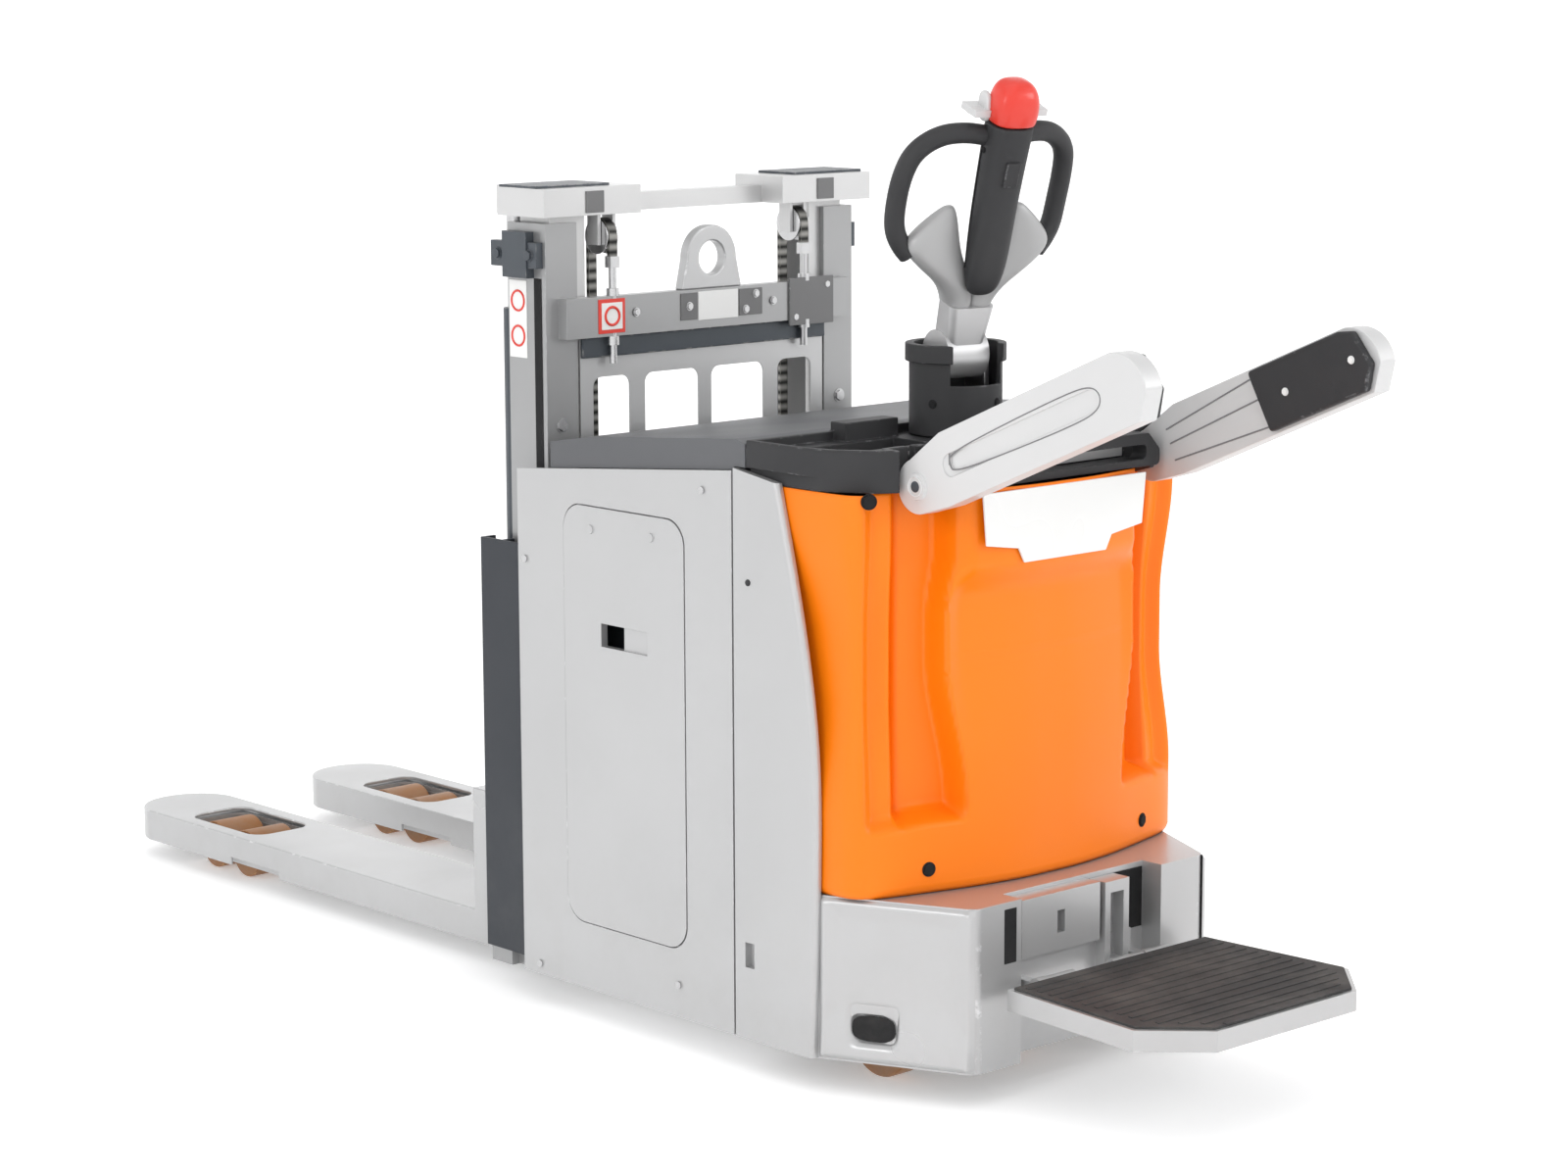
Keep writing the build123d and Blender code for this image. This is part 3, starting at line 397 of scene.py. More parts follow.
SILVER = Finish("silver_paint", "grey_paint", Kind.PAINT, (0.50, 0.502, 0.505), (0.455, 0.457, 0.46),
                (0.66, 0.66, 0.665), 0.34, 0.55, 1400.0, 0.05, 0.45, 0.16, 0.25)
ORANGE = Finish("orange_plastic", "orange_plastic", Kind.MOULDED, (0.93, 0.205, 0.001), (0.88, 0.185, 0.001),
                (0.95, 0.30, 0.02), 0.40, 0.0, 1500.0, 0.08, 0.35, 0.06, 0.0)
BADGE = Finish("badge_white", "badge_white", Kind.MOULDED, (0.80, 0.80, 0.79), (0.74, 0.74, 0.73),
               (0.86, 0.86, 0.85), 0.30, 0.0, 1600.0, 0.04, 0.2, 0.05, 0.3)
DARK = Finish("dark_plastic", "dark_plastic", Kind.MOULDED, (0.034, 0.034, 0.036), (0.026, 0.026, 0.028),
              (0.13, 0.13, 0.135), 0.52, 0.0, 1100.0, 0.35, 0.45, 0.12)
HOOD = Finish("hood_plastic", "hood_plastic", Kind.MOULDED, (0.034, 0.038, 0.046), (0.026, 0.030, 0.037),
              (0.10, 0.115, 0.13), 0.45, 0.0, 1100.0, 0.30, 0.4, 0.10)
LIGHT = Finish("light_plastic", "light_plastic", Kind.MOULDED, (0.62, 0.62, 0.62), (0.57, 0.57, 0.572),
               (0.66, 0.66, 0.66), 0.38, 0.2, 1300.0, 0.12, 0.35, 0.08, 0.15)
RED = Finish("red_plastic", "red_plastic", Kind.MOULDED, (0.70, 0.045, 0.028), (0.64, 0.036, 0.022),
             (0.90, 0.12, 0.09), 0.30, 0.0, 1600.0, 0.05, 0.3, 0.0, 0.35)
RUBBER = Finish("black_rubber", "black_rubber", Kind.RUBBER, (0.052, 0.052, 0.053), (0.040, 0.040, 0.041),
                (0.075, 0.075, 0.075), 0.74, 0.0, 800.0, 0.45, 0.5, 0.35)
DARK_PAINT = Finish("dark_paint", "dark_paint", Kind.PAINT, (0.060, 0.070, 0.082), (0.048, 0.057, 0.068),
                    (0.22, 0.22, 0.225), 0.40, 0.25, 1200.0, 0.08, 0.5, 0.18)
STEEL = Finish("bright_steel", "steel", Kind.STEEL, (0.58, 0.58, 0.585), (0.50, 0.50, 0.505),
               (0.76, 0.76, 0.76), 0.26, 1.0, 700.0, 0.14, 0.4, 0.08, 0.0, (1.0, 1.0, 0.06))
ALLOY = Finish("cast_alloy", "cast_alloy", Kind.STEEL, (0.62, 0.62, 0.625), (0.55, 0.55, 0.555),
               (0.78, 0.78, 0.78), 0.38, 0.75, 900.0, 0.25, 0.4, 0.05)
# The near-black is the links' gaps, oiled steel and painted shade together; the second colour is the link
# faces.
CHAIN = Finish("oiled_chain", "oiled_chain", Kind.CHAIN, (0.012, 0.012, 0.011), (0.26, 0.255, 0.24),
               (0.24, 0.235, 0.21), 0.36, 0.7, 900.0, 0.2, 0.55, 0.1)
TREAD = Finish("load_tyre", "polyurethane", Kind.TREAD, (0.36, 0.155, 0.045), (0.29, 0.12, 0.035),
               (0.46, 0.24, 0.10), 0.48, 0.0, 500.0, 0.15, 0.5, 0.4)
# The grey paint darkened for the mast's channels: painted shade.
MAST_SHADED = replace(SILVER, name="mast_painted_shade", colour=(0.36, 0.362, 0.365), second=(0.31, 0.312, 0.315))
# The grey paint lightened for the crosshead: painted highlight.
CROSSHEAD_LIT = replace(SILVER, name="crosshead_painted_highlight", colour=(0.60, 0.60, 0.60), second=(0.54, 0.54, 0.54))
# The hood's dark plastic lightened for the lid's top: painted sheen.
LID_SHEEN = replace(HOOD, name="lid_painted_sheen", colour=(0.125, 0.128, 0.135), second=(0.095, 0.098, 0.105))
# The light plastic darkened for the tiller's wings: painted shade.
WING_SHADED = replace(LIGHT, name="wing_painted_shade", colour=(0.40, 0.40, 0.402), second=(0.35, 0.35, 0.352))
PLATE = replace(LIGHT, name="grey_plate", slot="dark_paint", colour=(0.17, 0.17, 0.172),
                second=(0.13, 0.13, 0.132))
SIGN = replace(BADGE, name="plain_plate")
# A dark grey in the arms' own plastic slot, laid along grooves and slots: painted shade in the grooves.
GROOVE_SHADE = Finish("groove_painted_shade", "light_plastic", Kind.MOULDED, (0.20, 0.20, 0.205), (0.16, 0.16, 0.165),
                (0.30, 0.30, 0.30), 0.6, 0.0, 900.0, 0.2, 0.1, 0.05)
# Near-black: the real black of small screws, plugs and seams, and painted shade laid in recesses, slots and
# pockets.
BLACK_AND_SHADE = Finish("black_and_painted_shade", "dark_plastic", Kind.MOULDED, (0.012, 0.012, 0.013), (0.008, 0.008, 0.009),
                (0.03, 0.03, 0.03), 0.8, 0.0, 600.0, 0.2, 0.1, 0.1)
CASE = Finish("battery_case", "battery_case", Kind.MOULDED, (0.06, 0.066, 0.078), (0.05, 0.055, 0.065),
              (0.14, 0.14, 0.15), 0.5, 0.0, 1000.0, 0.2, 0.3, 0.2)

# ---- shapes ------------------------------------------------------------------

WIRE_SIDES = 12             # facets round a ring's wire
SAME_PLACE = 3e-6           # vertices nearer than this, in metres, are one
SAME_PLANE = radians(0.4)   # faces that turn less than this are one


class Shape:
    """A mesh being made with bmesh operators."""

    def __init__(self, start: bmesh.types.BMesh | None = None) -> None:
        """Start empty, or from a given bmesh."""
        self.bm = start or bmesh.new()

    @classmethod
    def of_node(cls, node: str) -> "Shape":
        """A merged copy of a CAD node, its flat faces whole again.

        Args:
            node: the CAD node.

        Returns:
            The copy.
        """
        shape = cls()
        shape.bm.from_mesh(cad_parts[node].data)
        bmesh.ops.remove_doubles(shape.bm, verts=shape.bm.verts, dist=SAME_PLACE)
        bmesh.ops.dissolve_limit(shape.bm, angle_limit=SAME_PLANE, verts=shape.bm.verts,
                                 edges=shape.bm.edges)
        return shape

    @staticmethod
    def edges_of(verts: list[bmesh.types.BMVert]) -> list[bmesh.types.BMEdge]:
        """Every edge that the vertices end, once each and in the same order every time."""
        return list(dict.fromkeys(e for v in verts for e in v.link_edges))

    def box(self, low: Vector, high: Vector) -> "Shape":
        """Add a box.

        Args:
            low: its low corner.
            high: its high corner.

        Returns:
            This shape.
        """
        made = bmesh.ops.create_cube(self.bm, size=1.0)
        bmesh.ops.scale(self.bm, vec=high - low, verts=made["verts"])
        bmesh.ops.translate(self.bm, vec=(low + high) / 2, verts=made["verts"])
        return self

    def rod(self, start: Vector, end: Vector, radius: float, sides: int = 32,
            tip: float | None = None) -> "Shape":
        """Add a rod, or a cone frustum when tip is set.

        Args:
            start: the middle of the first end.
            end: the middle of the other end.
            radius: the radius at start.
            sides: how many facets.
            tip: the radius at end.

        Returns:
            This shape.
        """
        axis = end - start
        place = Matrix.Translation((start + end) / 2) @ axis.to_track_quat("Z", "Y").to_matrix().to_4x4()
        bmesh.ops.create_cone(self.bm, cap_ends=True, segments=sides, radius1=radius,
                              radius2=radius if tip is None else tip, depth=axis.length, matrix=place)
        return self

    def ring(self, middle: Vector, axis: Vector, radius: float, wire: float, sides: int = 40) -> "Shape":
        """Add a torus: a small circle spun about an axis.

        Args:
            middle: its middle.
            axis: the direction it turns about.
            radius: from its middle to the wire's.
            wire: the wire's own radius.
            sides: the steps round it.

        Returns:
            This shape.
        """
        side = axis.orthogonal().normalized()
        turn = side.cross(axis).to_track_quat("Z", "Y").to_matrix().to_4x4()
        place = Matrix.Translation(middle + side * radius) @ turn
        made = bmesh.ops.create_circle(self.bm, segments=WIRE_SIDES, radius=wire, matrix=place)
        loop = self.edges_of(made["verts"])
        bmesh.ops.spin(self.bm, geom=[*made["verts"], *loop], cent=middle, axis=axis, angle=2 * pi,
                       steps=sides, use_merge=True, use_duplicate=False)
        return self

    def sheet(self, across: int, up: int, place: Callable[[float, float], Vector]) -> "Shape":
        """Add a grid and move each vertex to its place.

        Args:
            across: segments along the first share.
            up: segments along the second share.
            place: gives a point from two shares, 0 to 1.

        Returns:
            This shape.
        """
        made = bmesh.ops.create_grid(self.bm, x_segments=across, y_segments=up, size=0.5)
        for v in made["verts"]:
            v.co = place(v.co.x + 0.5, v.co.y + 0.5)
        return self

    def loft(self, rings: list[Ring], sides: int = 32) -> "Shape":
        """Add a closed body through rounded-square rings.

        Args:
            rings: each ring's middle, half width vector, half depth vector and squareness.
            sides: the vertices around a ring.

        Returns:
            This shape.
        """
        loops: list[list[bmesh.types.BMEdge]] = []
        for middle, wide, deep, square in rings:
            made = bmesh.ops.create_circle(self.bm, segments=sides, radius=1.0)
            for v in made["verts"]:
                c, d = v.co.x, v.co.y
                a = abs(c) ** (2 / square) * (1 if c >= 0 else -1)
                b = abs(d) ** (2 / square) * (1 if d >= 0 else -1)
                v.co = middle + wide * a + deep * b
            loops.append(self.edges_of(made["verts"]))
        for low, high in zip(loops, loops[1:]):
            bmesh.ops.bridge_loops(self.bm, edges=low + high)
        for end in (loops[0], loops[-1]):
            bmesh.ops.contextual_create(self.bm, geom=end)
        return self.closed()

    def tube(self, run: list[Vector], radius: float, sides: int = 20) -> "Shape":
        """Add a round bar along a run of points.

        Args:
            run: the points along its middle.
            radius: its radius.
            sides: the vertices around it.

        Returns:
            This shape.
        """
        rings: list[Ring] = []
        across = (run[1] - run[0]).orthogonal().normalized()
        for i, point in enumerate(run):
            along = (run[min(i + 1, len(run) - 1)] - run[max(i - 1, 0)]).normalized()
            across = (across - along * across.dot(along)).normalized()
            rings.append((point, across * radius, along.cross(across) * radius, 2.0))
        return self.loft(rings, sides)

    def bolt(self, seat: Vector, axis: Vector, radius: float, height: float) -> "Shape":
        """Add a hexagon bolt head on a round washer.

        Args:
            seat: the middle of the washer's underside.
            axis: the way the head stands up.
            radius: the head's radius.
            height: the head's and washer's height together.

        Returns:
            This shape.
        """
        up = axis.normalized()
        self.rod(seat, seat + up * height * 0.25, radius * 1.25, 28)
        return self.rod(seat + up * height * 0.2, seat + up * height, radius, 6)

    def round_edges(self, width: float, segments: int = 2, limit: float = 28.0,
                    where: Callable[[Vector], bool] | None = None) -> "Shape":
        """Bevel the sharp edges and mark the new faces for wear.

        Args:
            width: the bevel's offset.
            segments: the steps across it.
            limit: edges sharper than this many degrees are taken.
            where: says from both its ends whether an edge is taken.

        Returns:
            This shape.
        """
        worn = self.bm.faces.layers.float.get("edge") or self.bm.faces.layers.float.new("edge")
        sharp = [e for e in self.bm.edges
                 if len(e.link_faces) == 2 and e.calc_face_angle(0.0) > radians(limit)
                 and (where is None or all(where(v.co) for v in e.verts))]
        if sharp and width > 0:
            made = bmesh.ops.bevel(self.bm, geom=sharp, offset=width, offset_type="OFFSET",
                                   segments=segments, profile=0.5, affect="EDGES", clamp_overlap=True,
                                   loop_slide=True, material=-1)
            for face in made["faces"]:
                face[worn] = 1.0
        return self

    def piece(self, name: str, body: str, finish: Finish, smooth: float = 42.0) -> bpy.types.Object:
        """Turn the shape into a finished object on a body.

        Args:
            name: the piece's name.
            body: the CAD body it rides on.
            finish: its surface.
            smooth: edges sharper than this many degrees stay sharp.

        Returns:
            The new object.
        """
        mesh = bpy.data.meshes.new(name)
        self.bm.to_mesh(mesh)
        self.bm.free()
        mesh.shade_smooth()
        mesh.set_sharp_from_angle(angle=radians(smooth))
        mesh.materials.append(finish.material())
        made = bpy.data.objects.new(name, mesh)
        bpy.context.scene.collection.objects.link(made)
        even = made.modifiers.new("even_normals", "WEIGHTED_NORMAL")
        even.keep_sharp = True
        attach(made, body)
        log.info("piece %s: %d faces on %s", name, len(mesh.polygons), body)
        return made

    def closed(self) -> "Shape":
        """Turn every face outwards."""
        bmesh.ops.recalc_face_normals(self.bm, faces=self.bm.faces)
        return self


class SubAssembly:
    """What every sub-assembly can do."""

    body: str = ""

    def blob(self, name: str, body: str, finish: Finish, rings: list[Ring],
             sides: int = 16) -> bpy.types.Object:
        """A soft moulded body drawn through a few rings.

        Args:
            name: the piece's name.
            body: the body it rides on.
            finish: its surface.
            rings: the loft's rings.
            sides: the vertices around a ring.

        Returns:
            The new piece.
        """
        made = Shape().loft(rings, sides).piece(name, body, finish, 100)
        made.modifiers.clear()
        smooth = made.modifiers.new("rounds", "SUBSURF")
        smooth.levels = smooth.render_levels = 2
        return made

    def soften(self, node: str, finish: Finish, width: float = 0.0012, segments: int = 2,
               body: str | None = None) -> bpy.types.Object:
        """Stand a round-edged copy in for a CAD node.

        Args:
            node: the CAD node.
            finish: its surface.
            width: the edge radius.
            segments: the steps across each edge.
            body: the body it rides on, if not this sub-assembly's own.

        Returns:
            The new piece.
        """
        shape = Shape.of_node(node).round_edges(width, segments)
        made = shape.piece(f"{node}_soft", body or self.body, finish)
        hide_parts(node)
        return made

    @staticmethod
    def corners(span: Span, side: int = 1) -> tuple[Vector, Vector]:
        """A span's corners in the frame, mirrored for the left side.

        Args:
            span: two corners in millimetres, as they are on the right side.
            side: -1 for the left side, 1 for the right.

        Returns:
            The low and the high corner, in metres.
        """
        (x0, *low), (x1, *high) = span
        left, right = sorted((side * x0, side * x1))
        return at(left, *low), at(right, *high)

    def slab(self, name: str, span: Span, finish: Finish, width: float = 0.0008, body: str | None = None,
             side: int = 1) -> bpy.types.Object:
        """A small bevelled plate or block.

        Args:
            name: the piece's name.
            span: its corners in millimetres, as they are on the right side.
            finish: its surface.
            width: its edge radius.
            body: the body it rides on, if not this sub-assembly's own.
            side: -1 for the left side, 1 for the right.

        Returns:
            The new piece.
        """
        shape = Shape().box(*self.corners(span, side)).round_edges(width)
        return shape.piece(name, body or self.body, finish)


@dataclass
class DriveSection(SubAssembly):
    """Chassis, fenders, orange cover and what is fixed to them, in millimetres from the seam."""

    body: str = "drive_frame"
    # near-black sheets of painted shade inside the recess and the gap beside it
    recess_painted_shade: Span = ((-147, -354.5, 196), (147, -352.6, 288))
    gap_painted_shade: Span = ((-186, -390.2, 204), (-160, -388.2, 286))
    nose: Plan = (200, -360)            # the skirt's edges beyond this are rounded most
    nose_edge: float = 0.014            # in metres, like every edge radius
    corner_start: Plan = (348, -172)     # the corner face's plan, from the side to the front
    corner_end: Plan = (245, -390)
    corner_foot: float = 52
    corner_top: float = 294.5
    cover_foot: float = 297
    cover_top: float = 886
    cover_plan: tuple[Plan, ...] = ((346, -40), (346, -190), (340, -236), (306, -258), (238, -276),
                                    (150, -299), (60, -312), (0, -312))
    flute_edges: Plan = (205, 271)
    flute_deep: float = 46
    shoulder_deep: float = 22
    waist_deep: float = 17
    dish_deep: float = 15
    chin_out: float = 30
    hem_deep: float = 5
    wall: float = 0.003                 # in metres

    def build(self) -> None:
        """Make every piece of the section."""
        self.chassis()
        for side in ("left", "right"):
            self.soften(f"fender_{side}", SILVER, 0.005, 4)
        self.cover()
        self.soften("badge_plate", BADGE, 0.0012)
        self.soften("cover_screws", DARK, 0.0006)
        self.soften("platform_mount", SILVER, 0.0015)
        # painted shade: dark sheets in the recess and its gap
        self.slab("recess_painted_shade", self.recess_painted_shade, BLACK_AND_SHADE, 0.0006)
        self.slab("gap_painted_shade", self.gap_painted_shade, BLACK_AND_SHADE)
        self.soften("hydraulic_unit", DARK_PAINT, 0.0015)
        self.soften("motor_controller", DARK_PAINT, 0.0012)
        self.soften("drive_unit", DARK_PAINT, 0.0015, body="drive_unit")
        self.soften("drive_wheel", TREAD, 0.004, body="drive_wheel")
        for side in ("left", "right"):
            self.soften(f"castor_fork_{side}", STEEL, 0.001, body=f"castor_{side}")
            self.soften(f"castor_wheel_{side}", TREAD, 0.003, body=f"castor_wheel_{side}")

    def chassis(self) -> None:
        """The skirt with its rounded nose corners, and a moulded panel over each corner face."""
        shape = Shape.of_node("drive_chassis")
        wide, front = self.nose[0] / PER_METRE, SEAM_Y + self.nose[1] / PER_METRE
        shape.round_edges(self.nose_edge, 5, 20, lambda p: p.y < front and abs(p.x) > wide)
        made = shape.round_edges(0.003, 3).piece("skirt", self.body, SILVER)
        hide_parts("drive_chassis")
        for side, label in ((-1, "left"), (1, "right")):
            self.corner_panel(side, label)

    def corner_panel(self, side: int, label: str) -> None:
        """The dished panel over one corner of the skirt, with its oblong pocket and a near-black plug of
        painted shade in it.

        Args:
            side: -1 for the left corner, 1 for the right.
            label: the side's name.
        """
        (x0, y0), (x1, y1) = self.corner_start, self.corner_end
        run = Vector((x1 - x0, y1 - y0, 0)) / PER_METRE
        out = Vector((run.y, -run.x, 0)).normalized() * -1
        start = at(x0, y0, 0)
        low, high = self.corner_foot / PER_METRE, self.corner_top / PER_METRE

        def place(t: float, v: float) -> Vector:
            """A point of the panel: raised at the foot and along both upright edges.

            Args:
                t: the share along the corner, from the side to the front.
                v: the share of the height.

            Returns:
                The point, in metres.
            """
            foot = 1 - ease(0.0, 0.42, v)
            rim = 1 - ease(0.0, 0.16, t) + ease(0.84, 1.0, t)
            lip = ease(0.86, 1.0, v)
            pocket = between(0.22, 0.5, 0.04, t) * between(0.12, 0.34, 0.035, v)
            raised = 0.0012 + 0.013 * max(foot * (0.55 + 0.45 * rim), 0.45 * rim, 0.35 * lip)
            ends = ease(0.0, 0.035, t) * (1 - ease(0.965, 1.0, t))
            ends = ends * ease(0.0, 0.03, v) * (1 - ease(0.97, 1.0, v))
            p = start + run * t + out * (raised * ends - 0.0006 * (1 - ends) - 0.0105 * pocket)
            return Vector((p.x * side, p.y, low + (high - low) * v))

        shape = Shape().sheet(72, 64, place)
        if side < 0:
            bmesh.ops.reverse_faces(shape.bm, faces=shape.bm.faces)
        shape.piece(f"corner_panel_{label}", self.body, SILVER, 60)
        # a near-black plug in the pocket: painted shade
        middle = start + run * 0.36 + out * 0.001
        seat, way = Vector((middle.x * side, middle.y, 0.104)), Vector((out.x * side, out.y, 0))
        wide, tall = Vector((run.x * side, run.y, 0)).normalized() * 0.033, Vector((0, 0, 0.0185))
        pocket_shade = Shape().loft([(seat + way * d, wide, tall, 3.2) for d in (0.0035, 0.0005)], 40)
        pocket_shade.piece(f"corner_pocket_shade_{label}", self.body, BLACK_AND_SHADE)

    def cover(self) -> None:
        """The orange cover: flutes with ledges, a dished panel and a chin under the badge."""
        mirrored = [(-x, y) for x, y in reversed(self.cover_plan[:-1])]
        plan = Path([*self.cover_plan, *mirrored])
        flute_in, flute_out = self.flute_edges

        def place(t: float, v: float) -> Vector:
            """A point of the cover's outer face.

            Args:
                t: the share round the plan.
                v: the share of the height.

            Returns:
                The point, in metres.
            """
            x, y, nx, ny = plan.read(t)
            z = self.cover_foot + (self.cover_top - self.cover_foot) * v
            wide = abs(x)
            inner = flute_in - 34 * (1 - ease(420, 640, z)) - 12 * ease(700, 800, z)
            ledge = ease(397, 420, z + 0.10 * max(0.0, wide - 235))
            flute = self.flute_deep * between(inner, flute_out, 7, wide) * ledge
            shoulder = self.shoulder_deep * ease(255, 276, wide) * (1 - ease(312, 328, wide)) * ledge
            waist = self.waist_deep * ease(255, 300, wide) * between(500, 760, 90, z)
            middle = 1 - ease(inner - 34, inner + 2, wide)
            panel = self.dish_deep * ease(470, 735, z) * middle
            chin = 0.0
            if z > 640:
                chin = (self.chin_out * ease(722, 782, z) + 1.5) * (1 - ease(182, 200, wide))
            foot = self.hem_deep * (1 - ease(297, 306, z))
            deep = flute + shoulder + waist + panel - chin * middle + foot
            return at(x - nx * deep, y - ny * deep, z)

        shape = Shape().sheet(230, 118, place).closed()
        if sum(f.normal.y for f in shape.bm.faces) > 0:
            bmesh.ops.reverse_faces(shape.bm, faces=shape.bm.faces)
        for side, label in ((-1, "left"), (1, "right")):
            way = Vector((side * 0.26, -0.966, 0))
            plug = Shape().bolt(at(side * 229, -278.6, 333), way, 0.0088, 0.0026)
            plug.piece(f"cover_plug_{label}", self.body, BLACK_AND_SHADE)
        plug = Shape().bolt(at(-322, -250, 878), Vector((-0.55, -0.83, 0)), 0.0095, 0.003)
        plug.piece("tray_plug", self.body, BLACK_AND_SHADE)
        made = shape.piece("cover_shell", self.body, ORANGE, 80)
        wall = made.modifiers.new("wall", "SOLIDIFY")
        wall.thickness = self.wall
        wall.offset = -1
        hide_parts("drive_cover")


@dataclass
class Console(SubAssembly):
    """The dark tray over the cover and its grab handle."""

    body: str = "drive_frame"
    strip: Span = ((-192, -262.4, 898), (192, -260.3, 932))
    screws: tuple[Point, ...] = ((-208, -256, 947.6), (-4, -256, 947.6), (208, -256, 947.6))

    def build(self) -> None:
        """Make every piece of the console."""
        self.soften("console_tray", DARK, 0.0025, 3)
        self.soften("grab_handle", DARK, 0.003, 3)
        self.slab("handle_inner_strip", self.strip, LIGHT)
        tray = Shape()
        for place in self.screws:
            tray.bolt(at(*place), UP, 0.006, 0.0026)
        tray.piece("tray_screws", self.body, BLACK_AND_SHADE)


@dataclass
class GuardArms(SubAssembly):
    """The folding side guards and their brackets. Arm points are along and up from the pivot."""

    body: str = "drive_frame"
    pivot: Plan = (-287, 898)
    hub_x: float = 263
    groove_x: float = 262.7
    slot_x: float = 229.2
    screw_x: float = 215.2
    groove: tuple[Plan, ...] = ((74, 9), (80, 24), (200, 29), (340, 31), (376, 25), (386, 9), (376, -7),
                                (340, -13), (200, -10), (80, -4), (74, 9), (80, 24))
    slots: tuple[tuple[Plan, Plan], ...] = (((44, 26), (236, 45)), ((44, 4), (236, 12)),
                                            ((44, -22), (236, -32)))
    screws: tuple[Plan, ...] = ((296, 4), (428, 8))

    def build(self) -> None:
        """Make both arms and their pads."""
        self.soften("arm_brackets", DARK_PAINT, 0.001)
        for side, label in ((-1, "left"), (1, "right")):
            self.soften(f"guard_arm_{label}", LIGHT, 0.009, 4, body=f"guard_arm_{label}")
            self.soften(f"arm_pad_{label}", DARK, 0.004, 3, body=f"guard_arm_{label}")
            self.details(side, label)

    def place(self, x: float, along: float, up: float) -> Vector:
        """A point on an arm, in metres in the frame.

        Args:
            x: millimetres to the right of the machine's middle.
            along: millimetres along the arm from its pivot.
            up: millimetres above the pivot, square to the arm.

        Returns:
            The point.
        """
        y, z = self.pivot
        return at(x, y - along * cos(ARM_RISE) + up * sin(ARM_RISE),
                  z + along * sin(ARM_RISE) + up * cos(ARM_RISE))

    def details(self, side: int, label: str) -> None:
        """The groove and slot lines of painted shade, pivot boss and pad screws of one arm.

        Args:
            side: -1 for the left arm, 1 for the right.
            label: the side's name.
        """
        body = f"guard_arm_{label}"
        out = Vector((side, 0, 0))
        # thin dark tubes along the grooves and slots: painted shade
        lines = Shape()
        groove = [self.place(side * self.groove_x, *point) for point in self.groove]
        lines.tube(corners_cut(groove), 0.0011, 8)
        for ends in self.slots:
            lines.tube([self.place(side * self.slot_x, *point) for point in ends], 0.0014, 8)
        lines.piece(f"arm_groove_shade_{label}", body, GROOVE_SHADE)
        hub = self.place(side * self.hub_x, 0, 0)
        boss = Shape().rod(hub - out * 0.001, hub + out * 0.004, 0.021, 40, 0.0185)
        boss.ring(hub + out * 0.0042, out, 0.0135, 0.0016)
        boss.piece(f"arm_boss_{label}", body, LIGHT)
        pin = Shape().rod(hub + out * 0.0035, hub + out * 0.0048, 0.0085, 28, 0.0078)
        pin.piece(f"arm_pin_{label}", body, DARK_PAINT)
        screws = Shape()
        for point in self.screws:
            screws.bolt(self.place(side * self.screw_x, *point), -out, 0.0048, 0.003)
        screws.piece(f"pad_screws_{label}", body, SIGN)


